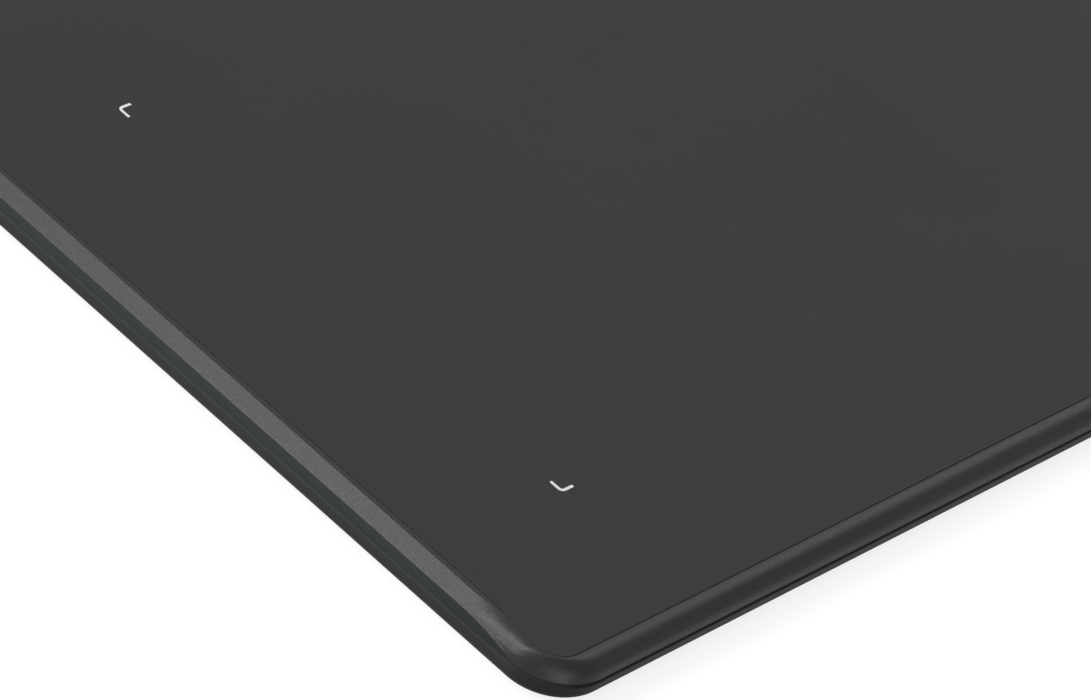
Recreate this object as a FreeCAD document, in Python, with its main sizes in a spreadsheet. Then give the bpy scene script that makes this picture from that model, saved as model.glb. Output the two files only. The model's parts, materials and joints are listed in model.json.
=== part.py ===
import FreeCAD, Part
import math
import os

import Sketcher
from FreeCAD import Vector

# Pen tablet: a flat drawing surface in a two-part housing, with four keys in the rear border.
# Frame: origin under the middle of the tablet on the desk, +X right, +Y to the rear, +Z up.
# All sizes are in millimetres. A depth is measured down from the drawing surface.

SIZES = {
    # Drawing area and the borders round it, out to the housing's wall.
    "active_length": 160.0,
    "active_depth": 100.0,
    "side_border": 29.6,
    "front_border": 29.6,
    "rear_border": 41.6,
    # Heights of the housing and of the gap that the feet leave under it.
    "body_height": 8.0,
    "foot_stand": 0.8,
    # Drawing sheet in its recess in the top cover.
    "sheet_thickness": 0.7,
    "adhesive_thickness": 0.1,
    "adhesive_setback": 0.6,
    "sheet_gap": 0.12,
    "sheet_corner_radius": 4.4,
    "flare_start": 19.3,
    "corner_rim": 0.14,
    "side_rim": 1.2,
    "front_rim": 0.22,
    # Top cover: flat chamfers on the sides and rear, a rolled edge at the front.
    "plate_thickness": 1.2,
    "skirt_thickness": 2.2,
    "chamfer_width": 1.9,
    "chamfer_drop": 2.05,
    "roll_width": 2.9,
    "roll_drop": 3.0,
    "crest_corner_radius": 4.6,
    "rear_crest_radius": 8.0,
    "wall_corner_radius": 9.9,
    # Parting line: high on the sides and rear, dipping to the front corners.
    "side_skirt": 2.15,
    "front_skirt": 4.0,
    "dip_start": 20.7,
    "dip_end": 3.7,
    "seam_gap": 0.2,
    # Bottom cover.
    "crease_depth": 4.6,
    "lower_lean": 12.0,
    "bottom_round": 2.0,
    "floor_thickness": 1.4,
    "lip_thickness": 1.0,
    "lip_clearance": 0.15,
    "rib_thickness": 1.0,
    "rib_pitch": 22.0,
    "rib_end_setback": 8.0,
    # Sensor stack under the drawing area.
    "sensor_margin": 8.0,
    "film_thickness": 0.3,
    "sensor_thickness": 1.0,
    "foam_thickness": 0.6,
    "shield_thickness": 0.4,
    "connector_margin": 7.0,
    "pin_radius": 1.2,
    "pin_hole_gap": 0.2,
    "pin_inset": 3.5,
    # Screws that join the covers, and their posts.
    "screw_post_radius": 2.6,
    "screw_shank_radius": 0.95,
    "screw_hole_gap": 0.1,
    "screw_length": 4.2,
    "screw_head_radius": 1.9,
    "screw_head_height": 0.9,
    "screw_head_sink": 1.1,
    "screw_head_gap": 0.25,
    "screw_seat_radius": 3.6,
    "screw_seat_height": 0.7,
    "screw_side_inset": 11.0,
    "screw_end_inset": 11.0,
    # Feet.
    "foot_length": 24.0,
    "foot_width": 9.0,
    "foot_sink": 0.5,
    "foot_gap": 0.15,
    "foot_edge_bevel": 0.3,
    "foot_side_inset": 34.0,
    "foot_end_inset": 11.0,
    # Keys, their bezel and the well that holds it.
    "key_length": 14.0,
    "key_width": 8.0,
    "key_corner_radius": 1.6,
    "key_pitch": 17.0,
    "key_middle_gap": 4.0,
    "key_setback": 20.0,
    "key_gap": 0.3,
    "key_travel": 0.4,
    "key_sink": 0.25,
    "key_edge_bevel": 0.4,
    "key_flange_margin": 0.9,
    "key_flange_height": 0.6,
    "key_flange_gap": 0.1,
    "key_stem_length": 0.4,
    "key_stem_radius": 1.6,
    "bezel_end_margin": 6.5,
    "bezel_side_margin": 3.0,
    "bezel_gap": 0.12,
    "bezel_sink": 0.15,
    "bezel_rim": 1.2,
    "dish_depth": 0.7,
    "well_depth": 1.5,
    "well_floor": 0.9,
    "well_wall": 1.5,
    # Main board with the switches, controller and cable inlet.
    "board_length": 126.0,
    "board_width": 24.0,
    "board_thickness": 1.0,
    "board_front_gap": 9.0,
    "board_post_radius": 2.4,
    "board_screw_inset": 3.5,
    "board_screw_radius": 0.8,
    "board_screw_head_radius": 1.5,
    "board_screw_head_height": 0.6,
    "board_screw_length": 2.2,
    "board_screw_tip_gap": 0.2,
    "switch_size": 5.2,
    "switch_height": 1.0,
    "switch_gap": 0.1,
    "switch_bore_radius": 1.4,
    "button_radius": 1.1,
    "button_reach": 0.35,
    "chip_size": 7.0,
    "chip_height": 0.9,
    "small_chip_length": 3.2,
    "small_chip_width": 1.6,
    "small_chip_height": 0.7,
    "small_chip_pitch": 7.0,
    "light_radius": 0.9,
    "light_gap": 0.1,
    "lamp_height": 0.6,
    "lamp_length": 1.6,
    "lamp_width": 0.8,
    # Cable inlet in the rear wall.
    "inlet_offset": 45.0,
    "inlet_length": 7.4,
    "inlet_width": 9.0,
    "inlet_height": 3.2,
    "inlet_wall": 0.3,
    "inlet_gap": 0.2,
    "inlet_setback": 0.6,
    "tongue_length": 5.5,
    "tongue_width": 6.7,
    "tongue_height": 0.7,
    # Flat cable between the boards.
    "ribbon_width": 14.0,
    "ribbon_thickness": 0.2,
    "ribbon_offset": 44.0,
    "ribbon_socket_length": 17.0,
    "ribbon_socket_width": 4.0,
    "ribbon_socket_height": 1.0,
    # Printed marks at the corners of the drawing area.
    "mark_arm": 2.4,
    "mark_stroke": 0.5,
    "mark_depth": 0.15,
    "mark_bend_radius": 0.65,
}

# Counts of what repeats, and of the steps by which the top cover's edge turns from the crest to the wall.
KEY_COUNT = 4
RIB_COUNT = 7
SMALL_CHIP_COUNT = 3
EDGE_STEPS = 4
# Two heights nearer than this are one height.
HEIGHT_TOLERANCE = 1e-4

document = FreeCAD.newDocument("PenTablet")
sheet = document.addObject("Spreadsheet::Sheet", "Sizes")
for row, (alias, value) in enumerate(SIZES.items(), start=1):
    sheet.set(f"A{row}", alias.replace("_", " "))
    sheet.set(f"B{row}", str(value))
    sheet.setAlias(f"B{row}", alias)
document.recompute()

# Places worked out from the driving sizes, as expressions on the sheet.
HALF_LENGTH = "(Sizes.active_length / 2 + Sizes.side_border)"
HALF_DEPTH = "((Sizes.front_border + Sizes.active_depth + Sizes.rear_border) / 2)"
FRONT_WALL = f"(-{HALF_DEPTH})"
REAR_WALL = HALF_DEPTH
ACTIVE_FRONT = f"({FRONT_WALL} + Sizes.front_border)"
ACTIVE_REAR = f"({ACTIVE_FRONT} + Sizes.active_depth)"
TOP_FACE = "(Sizes.foot_stand + Sizes.body_height)"

# Depths below the drawing surface, from the top down.
RECESS_DEPTH = "(Sizes.sheet_thickness + Sizes.adhesive_thickness)"
PLATE_UNDER = f"({RECESS_DEPTH} + Sizes.plate_thickness)"
SENSOR_TOP = f"({PLATE_UNDER} + Sizes.film_thickness)"
SENSOR_UNDER = f"({SENSOR_TOP} + Sizes.sensor_thickness)"
FOAM_UNDER = f"({SENSOR_UNDER} + Sizes.foam_thickness)"
SHIELD_UNDER = f"({FOAM_UNDER} + Sizes.shield_thickness)"
FLOOR_DEPTH = "(Sizes.body_height - Sizes.floor_thickness)"
WELL_UNDER = "(Sizes.well_depth + Sizes.well_floor)"
KEY_FLANGE_TOP = f"({WELL_UNDER} + Sizes.key_flange_gap)"
KEY_FLANGE_UNDER = f"({KEY_FLANGE_TOP} + Sizes.key_flange_height)"
KEY_STEM_UNDER = f"({KEY_FLANGE_UNDER} + Sizes.key_stem_length)"
SWITCH_TOP = f"({KEY_STEM_UNDER} + Sizes.key_travel + Sizes.switch_gap)"
BOARD_TOP = f"({SWITCH_TOP} + Sizes.switch_height)"
BOARD_UNDER = f"({BOARD_TOP} + Sizes.board_thickness)"
INLET_CENTRE = f"({FLOOR_DEPTH} - Sizes.inlet_height / 2)"

# Places in plan.
SEAM_SIDE = "(Sizes.chamfer_width + Sizes.side_rim)"
SEAM_FRONT = "(Sizes.roll_width + Sizes.front_rim)"
FLARE_WIDTH = "(Sizes.side_rim - Sizes.corner_rim)"
SENSOR_LEFT = "(-Sizes.active_length / 2 - Sizes.sensor_margin)"
SENSOR_FRONT = f"({ACTIVE_FRONT} - Sizes.sensor_margin)"
SENSOR_LENGTH = "(Sizes.active_length + 2 * Sizes.sensor_margin)"
SENSOR_DEPTH = "(Sizes.active_depth + 2 * Sizes.sensor_margin)"
SENSOR_REAR = f"({SENSOR_FRONT} + {SENSOR_DEPTH})"
KEY_ROW = f"({ACTIVE_REAR} + Sizes.key_setback)"
BEZEL_LENGTH = (
    f"({KEY_COUNT - 1} * Sizes.key_pitch + Sizes.key_middle_gap + Sizes.key_length"
    " + 2 * Sizes.bezel_end_margin)"
)
BEZEL_WIDTH = "(Sizes.key_width + 2 * Sizes.bezel_side_margin)"
BOARD_FRONT = f"({ACTIVE_REAR} + Sizes.sensor_margin + Sizes.board_front_gap - Sizes.ribbon_socket_width)"
BOARD_REAR = f"({BOARD_FRONT} + Sizes.board_width)"
BOARD_LEFT = "(-Sizes.board_length / 2)"
INLET_MOUTH = f"({REAR_WALL} - Sizes.inlet_setback)"
INLET_BACK = f"({INLET_MOUTH} - Sizes.inlet_length)"
INLET_X = "(-Sizes.inlet_offset)"
SCREW_X = f"({HALF_LENGTH} - Sizes.screw_side_inset)"
SCREW_FRONT = f"({FRONT_WALL} + Sizes.screw_end_inset)"
SCREW_REAR = f"({REAR_WALL} - Sizes.screw_end_inset)"
PIN_X = f"({SENSOR_LENGTH} / 2 - Sizes.pin_inset)"
PIN_FRONT = f"({SENSOR_FRONT} + Sizes.pin_inset)"
PIN_REAR = f"({SENSOR_REAR} - Sizes.connector_margin - Sizes.pin_inset)"


def level(depth):
    """Height above the desk of a depth below the drawing surface."""
    return f"({TOP_FACE} - {depth})"


def value_of(expression):
    """Number that an expression on the sheet has now."""
    return float(FreeCAD.Units.Quantity(sheet.evalExpression(expression)).Value)


def new_body(label):
    """Empty body that becomes one sub-part."""
    body = document.addObject("PartDesign::Body", label)
    body.Label = label
    return body


def new_sketch(body, name, height="0", role="XY_Plane"):
    """Sketch on one of the body's own origin planes, moved along its normal."""
    sketch = body.newObject("Sketcher::SketchObject", name)
    plane = [item for item in body.Origin.OriginFeatures if item.Role == role][0]
    sketch.AttachmentSupport = [(plane, "")]
    sketch.MapMode = "FlatFace"
    sketch.setExpression("AttachmentOffset.Base.z", height)
    return sketch


def bind(sketch, constraint, expression):
    """Add a constraint whose datum follows an expression."""
    index = sketch.addConstraint(constraint)
    sketch.setExpression(f"Constraints[{index}]", expression)


def pin_point(sketch, geometry, end, across, along):
    """Hold a point of the sketch at a place given by two expressions."""
    bind(sketch, Sketcher.Constraint("DistanceX", -1, 1, geometry, end, value_of(across)), across)
    bind(sketch, Sketcher.Constraint("DistanceY", -1, 1, geometry, end, value_of(along)), along)


def add_circle(sketch, across, along, radius):
    """Circle with its centre and radius bound to expressions."""
    centre = Vector(value_of(across), value_of(along), 0)
    circle = Part.Circle(centre, Vector(0, 0, 1), value_of(radius))
    index = sketch.addGeometry(circle)
    bind(sketch, Sketcher.Constraint("Radius", index, value_of(radius)), radius)
    pin_point(sketch, index, 3, across, along)


def add_outline(sketch, points, arcs):
    """Closed outline through points; arcs maps a side's number to (radius, centre x, centre y)."""
    places = [Vector(value_of(across), value_of(along), 0) for across, along in points]
    ends = []
    for number, start in enumerate(places):
        finish = places[(number + 1) % len(places)]
        if number in arcs:
            radius, across, along = arcs[number]
            centre = Vector(value_of(across), value_of(along), 0)
            first, last = start - centre, finish - centre
            forward = first.x * last.y - first.y * last.x > 0
            if not forward:
                first, last = last, first
            circle = Part.Circle(centre, Vector(0, 0, 1), value_of(radius))
            arc = Part.ArcOfCircle(circle, math.atan2(first.y, first.x), math.atan2(last.y, last.x))
            index = sketch.addGeometry(arc)
            bind(sketch, Sketcher.Constraint("Radius", index, value_of(radius)), radius)
            ends.append((index, 1, 2) if forward else (index, 2, 1))
        else:
            index = sketch.addGeometry(Part.LineSegment(start, finish))
            ends.append((index, 1, 2))
    for number, (index, start_end, finish_end) in enumerate(ends):
        next_index, next_start, _ = ends[(number + 1) % len(ends)]
        sketch.addConstraint(Sketcher.Constraint("Coincident", index, finish_end, next_index, next_start))
        pin_point(sketch, index, start_end, *points[number])


def add_rounded_box(sketch, left, right, front, rear, front_radius, rear_radius=None):
    """Rectangle with rounded corners, drawn anticlockwise from its front left corner."""
    rear_radius = rear_radius or front_radius
    near, far = f"({front_radius})", f"({rear_radius})"
    points = [
        (f"{left} + {near}", front), (f"{right} - {near}", front),
        (right, f"{front} + {near}"), (right, f"{rear} - {far}"),
        (f"{right} - {far}", rear), (f"{left} + {far}", rear),
        (left, f"{rear} - {far}"), (left, f"{front} + {near}"),
    ]
    arcs = {
        1: (near, f"{right} - {near}", f"{front} + {near}"),
        3: (far, f"{right} - {far}", f"{rear} - {far}"),
        5: (far, f"{left} + {far}", f"{rear} - {far}"),
        7: (near, f"{left} + {near}", f"{front} + {near}"),
    }
    add_outline(sketch, points, arcs)


def add_centred_box(sketch, across, along, length, width, radius):
    """Rounded rectangle about a centre."""
    add_rounded_box(
        sketch, f"{across} - {length} / 2", f"{across} + {length} / 2",
        f"{along} - {width} / 2", f"{along} + {width} / 2", radius,
    )


def add_slot(sketch, across, along, length, width):
    """Slot with full round ends, lying along X."""
    reach = f"({length} / 2 - {width} / 2)"
    radius = f"{width} / 2"
    left, right = f"{across} - {reach}", f"{across} + {reach}"
    front, rear = f"{along} - {width} / 2", f"{along} + {width} / 2"
    tip_left, tip_right = f"{left} - {radius}", f"{right} + {radius}"
    points = [
        (left, front), (right, front), (tip_right, along),
        (right, rear), (left, rear), (tip_left, along),
    ]
    arcs = {
        1: (radius, right, along), 2: (radius, right, along),
        4: (radius, left, along), 5: (radius, left, along),
    }
    add_outline(sketch, points, arcs)


def add_wall_outline(sketch, inset="0"):
    """Outline of the housing's wall, moved inwards by an inset."""
    add_rounded_box(
        sketch, f"-{HALF_LENGTH} + {inset}", f"{HALF_LENGTH} - {inset}",
        f"{FRONT_WALL} + {inset}", f"{REAR_WALL} - {inset}",
        f"Sizes.wall_corner_radius - {inset}",
    )


def add_sheet_outline(sketch, growth):
    """Drawing sheet's outline: its sides flare outwards as they near the front corners."""
    radius = f"(Sizes.sheet_corner_radius + {growth})"
    rear_radius = f"(Sizes.rear_crest_radius - Sizes.side_rim + {growth})"
    side = f"({HALF_LENGTH} - {SEAM_SIDE} + {growth})"
    wide = f"({side} + {FLARE_WIDTH})"
    middle = f"({side} + {FLARE_WIDTH} / 2)"
    front = f"({FRONT_WALL} + {SEAM_FRONT} - {growth})"
    rear = f"({REAR_WALL} - {SEAM_SIDE} + {growth})"
    corner_end = f"({front} + {radius})"
    flare_top = f"({FRONT_WALL} + Sizes.flare_start)"
    flare_middle = f"(({corner_end} + {flare_top}) / 2)"
    run = f"({flare_top} - {corner_end})"
    bend = f"(({FLARE_WIDTH} * {FLARE_WIDTH} + {run} * {run}) / (4 * {FLARE_WIDTH}))"
    points = [
        (f"-{wide} + {radius}", front), (f"{wide} - {radius}", front),
        (wide, corner_end), (middle, flare_middle), (side, flare_top),
        (side, f"{rear} - {rear_radius}"), (f"{side} - {rear_radius}", rear),
        (f"-{side} + {rear_radius}", rear), (f"-{side}", f"{rear} - {rear_radius}"),
        (f"-{side}", flare_top), (f"-{middle}", flare_middle), (f"-{wide}", corner_end),
    ]
    arcs = {
        1: (radius, f"{wide} - {radius}", corner_end),
        2: (bend, f"{wide} - {bend}", corner_end),
        3: (bend, f"{side} + {bend}", flare_top),
        5: (rear_radius, f"{side} - {rear_radius}", f"{rear} - {rear_radius}"),
        7: (rear_radius, f"-{side} + {rear_radius}", f"{rear} - {rear_radius}"),
        9: (bend, f"-{side} - {bend}", flare_top),
        10: (bend, f"-{wide} + {bend}", corner_end),
        11: (radius, f"-{wide} + {radius}", corner_end),
    }
    add_outline(sketch, points, arcs)


def add_parting_region(sketch, lowering, far_side):
    """Side view of the region beyond the parting line, out to the height far_side."""
    high = f"({level('Sizes.side_skirt')} - {lowering})"
    low = f"({level('Sizes.front_skirt')} - {lowering})"
    start = f"({FRONT_WALL} + Sizes.dip_start)"
    finish = f"({FRONT_WALL} + Sizes.dip_end)"
    drop = "(Sizes.front_skirt - Sizes.side_skirt)"
    run = "(Sizes.dip_start - Sizes.dip_end)"
    bend = f"(({run} * {run} + {drop} * {drop}) / (4 * {drop}))"
    beyond_rear = f"({REAR_WALL} + Sizes.dip_end)"
    beyond_front = f"({FRONT_WALL} - Sizes.dip_end)"
    points = [
        (beyond_rear, high), (start, high), (f"({start} + {finish}) / 2", f"({high} + {low}) / 2"),
        (finish, low), (beyond_front, low), (beyond_front, far_side), (beyond_rear, far_side),
    ]
    arcs = {
        1: (bend, start, f"{high} - {bend}"),
        2: (bend, finish, f"{low} + {bend}"),
    }
    add_outline(sketch, points, arcs)


def pad(body, name, sketch, length, downwards=False):
    """Pad a sketch up, or down, by a length."""
    feature = body.newObject("PartDesign::Pad", name)
    feature.Profile = sketch
    feature.setExpression("Length", length)
    feature.Reversed = downwards
    body.Tip = feature
    document.recompute()
    return feature


def pocket(body, name, sketch, length=None, upwards=False, both_ways=False):
    """Cut a sketch down, or up, by a length or right through, and check that it cuts."""
    before = body.Shape.Volume
    feature = body.newObject("PartDesign::Pocket", name)
    feature.Profile = sketch
    if length is None:
        feature.Type = "ThroughAll"
    else:
        feature.setExpression("Length", length)
    feature.Reversed = upwards
    if both_ways:
        feature.SideType = "Symmetric"
    body.Tip = feature
    document.recompute()
    if not feature.Shape.Volume < before:
        raise RuntimeError(f"{body.Label}: {name} cuts nothing")
    return feature


def edges_at(feature, height):
    """Names of a feature's edges that lie flat at one height."""
    names = []
    for number, edge in enumerate(feature.Shape.Edges, start=1):
        bounds = edge.BoundBox
        if max(abs(bounds.ZMin - height), abs(bounds.ZMax - height)) < HEIGHT_TOLERANCE:
            names.append(f"Edge{number}")
    return names


def soften_edges(body, kind, name, feature, height, property_name, size):
    """Fillet or chamfer the edges of a feature that lie flat at one height."""
    softened = body.newObject(f"PartDesign::{kind}", name)
    softened.Base = (feature, edges_at(feature, height))
    softened.setExpression(property_name, size)
    body.Tip = softened
    document.recompute()
    return softened


def round_edges(body, name, feature, height, radius):
    """Round the edges that lie at one height."""
    return soften_edges(body, "Fillet", name, feature, height, "Radius", radius)


def bevel_edges(body, name, feature, height, size):
    """Bevel the edges that lie at one height."""
    return soften_edges(body, "Chamfer", name, feature, height, "Size", size)


def place(item, across, along, height):
    """Bind a primitive's place to expressions."""
    item.setExpression("Placement.Base.x", across)
    item.setExpression("Placement.Base.y", along)
    item.setExpression("Placement.Base.z", height)


def box(label, left, front, bottom, length, width, height):
    """Box with its corner and sizes bound to expressions."""
    item = document.addObject("Part::Box", label)
    item.Label = label
    item.setExpression("Length", length)
    item.setExpression("Width", width)
    item.setExpression("Height", height)
    place(item, left, front, bottom)
    return item


def cylinder(label, across, along, bottom, radius, height):
    """Upright cylinder with its sizes and place bound to expressions."""
    item = document.addObject("Part::Cylinder", label)
    item.Label = label
    item.setExpression("Radius", radius)
    item.setExpression("Height", height)
    place(item, across, along, bottom)
    return item


def join(label, items):
    """Fuse items; those that don't touch stay separate solids of one sub-part."""
    item = document.addObject("Part::MultiFuse", label)
    item.Label = label
    item.Shapes = items
    return item


def cut(label, base, tool):
    """Base less tool."""
    item = document.addObject("Part::Cut", label)
    item.Label = label
    item.Base = base
    item.Tool = tool
    return item


def key_centre(number):
    """Place of a key along the row, counted from the left."""
    steps = number - (KEY_COUNT - 1) / 2
    side = -1 if steps < 0 else 1
    return f"({steps} * Sizes.key_pitch + {side} * Sizes.key_middle_gap / 2)"


def add_bezel_slot(sketch, growth):
    """Slot of the key bezel, grown by a margin all round."""
    add_slot(sketch, "0", KEY_ROW, f"({BEZEL_LENGTH} + 2 * {growth})", f"({BEZEL_WIDTH} + 2 * {growth})")


def add_key_windows(sketch):
    """Opening round each key, and the hole of the light between the middle keys."""
    for number in range(KEY_COUNT):
        add_centred_box(
            sketch, key_centre(number), KEY_ROW,
            "(Sizes.key_length + 2 * Sizes.key_gap)", "(Sizes.key_width + 2 * Sizes.key_gap)",
            "(Sizes.key_corner_radius + Sizes.key_gap)",
        )
    add_circle(sketch, "0", KEY_ROW, "(Sizes.light_radius + Sizes.light_gap)")


def screw_places():
    """Places of the screws that join the covers: one in each corner and one at the palm edge."""
    places = [(f"{side}{SCREW_X}", along) for side in ("-", "") for along in (SCREW_FRONT, SCREW_REAR)]
    places.append(("0", SCREW_FRONT))
    return places


def pin_places():
    """Places of the two pins, at opposite corners, that locate the sensor stack."""
    return [(f"-{PIN_X}", PIN_FRONT), (PIN_X, PIN_REAR)]


def board_screw_places():
    """Places of the screws near the main board's corners."""
    reach = "(Sizes.board_length / 2 - Sizes.board_screw_inset)"
    ends = (f"({BOARD_FRONT} + Sizes.board_screw_inset)", f"({BOARD_REAR} - Sizes.board_screw_inset)")
    return [(f"{side}{reach}", along) for side in ("-", "") for along in ends]


def foot_places():
    """Name and place of each foot."""
    places = {}
    for side_name, side in (("left", "-"), ("right", "")):
        across = f"({side}({HALF_LENGTH} - Sizes.foot_side_inset))"
        places[f"front_{side_name}_foot"] = (across, f"({FRONT_WALL} + Sizes.foot_end_inset)")
        places[f"rear_{side_name}_foot"] = (across, f"({REAR_WALL} - Sizes.foot_end_inset)")
    return places


def edge_level(body, name, angle):
    """Top cover's outline where its front edge has rolled through an angle.

    The sides and rear run straight down a chamfer to the wall meanwhile, and each corner's radius
    grows from its radius at the crest to that of the wall.
    """
    depth = f"(Sizes.roll_drop * (1 - cos({angle})))"
    side_inset = f"(Sizes.chamfer_width * max(0; 1 - {depth} / Sizes.chamfer_drop))"
    front_inset = f"(Sizes.roll_width * (1 - sin({angle})))"
    front_growth = f"(Sizes.wall_corner_radius - Sizes.crest_corner_radius) * {angle} / 90 deg"
    rear_growth = (
        "(Sizes.wall_corner_radius - Sizes.rear_crest_radius)"
        f" * (1 - {side_inset} / Sizes.chamfer_width)"
    )
    sketch = new_sketch(body, name, level(depth))
    add_rounded_box(
        sketch, f"-{HALF_LENGTH} + {side_inset}", f"{HALF_LENGTH} - {side_inset}",
        f"{FRONT_WALL} + {front_inset}", f"{REAR_WALL} - {side_inset}",
        f"(Sizes.crest_corner_radius + {front_growth})", f"(Sizes.rear_crest_radius + {rear_growth})",
    )
    return sketch


def loft(body, name, sections, ruled):
    """Loft through sections, either smooth or in straight bands."""
    feature = body.newObject("PartDesign::AdditiveLoft", name)
    feature.Profile = sections[0]
    feature.Sections = sections[1:]
    feature.Ruled = ruled
    body.Tip = feature
    document.recompute()
    return feature


def make_top_cover():
    """Top cover: flat chamfers that sweep round the front corners into a rolled palm edge."""
    body = new_body("top_cover")
    chamfer_end = "acos(1 - Sizes.chamfer_drop / Sizes.roll_drop)"
    levels = [
        edge_level(body, f"edge_level_{step}", f"({step} / {EDGE_STEPS} * {chamfer_end})")
        for step in range(EDGE_STEPS + 1)
    ]
    loft(body, "edge_loft", levels, ruled=False)
    roll_end = edge_level(body, "roll_end", "90 deg")
    skirt_end = new_sketch(body, "skirt_end", level("(Sizes.front_skirt + Sizes.seam_gap)"))
    add_wall_outline(skirt_end)
    loft(body, "skirt_loft", [levels[-1], roll_end, skirt_end], ruled=True)

    recess = new_sketch(body, "sheet_recess", level(RECESS_DEPTH))
    add_sheet_outline(recess, "Sizes.sheet_gap")
    pocket(body, "sheet_recess_cut", recess, upwards=True)

    cavity = new_sketch(body, "cavity", level(PLATE_UNDER))
    add_wall_outline(cavity, "Sizes.skirt_thickness")
    pocket(body, "cavity_cut", cavity)

    parting = new_sketch(body, "parting_line", role="YZ_Plane")
    add_parting_region(parting, "0", "Sizes.foot_stand")
    pocket(body, "parting_cut", parting, both_ways=True)

    well_pad = new_sketch(body, "well_pad", level(PLATE_UNDER))
    add_bezel_slot(well_pad, "Sizes.well_wall")
    pad(body, "well_underside", well_pad, f"{WELL_UNDER} - {PLATE_UNDER}", downwards=True)

    well = new_sketch(body, "well", level("Sizes.well_depth"))
    add_bezel_slot(well, "Sizes.bezel_gap")
    pocket(body, "well_cut", well, upwards=True)

    windows = new_sketch(body, "key_windows", level("Sizes.well_depth"))
    add_key_windows(windows)
    pocket(body, "key_windows_cut", windows)

    posts = new_sketch(body, "screw_posts", level(PLATE_UNDER))
    for across, along in screw_places():
        add_circle(posts, across, along, "Sizes.screw_post_radius")
    post_length = f"({FLOOR_DEPTH} - Sizes.screw_seat_height - {PLATE_UNDER})"
    pad(body, "screw_post_pads", posts, post_length, downwards=True)

    pilots = new_sketch(body, "pilot_holes", level(f"({FLOOR_DEPTH} - Sizes.screw_seat_height)"))
    for across, along in screw_places():
        add_circle(pilots, across, along, "(Sizes.screw_shank_radius + Sizes.screw_hole_gap)")
    pocket(body, "pilot_holes_cut", pilots, post_length, upwards=True)

    pins = new_sketch(body, "locating_pins", level(PLATE_UNDER))
    for across, along in pin_places():
        add_circle(pins, across, along, "Sizes.pin_radius")
    pad(body, "locating_pin_pads", pins, f"({SHIELD_UNDER} - {PLATE_UNDER})", downwards=True)
    return body


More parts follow.
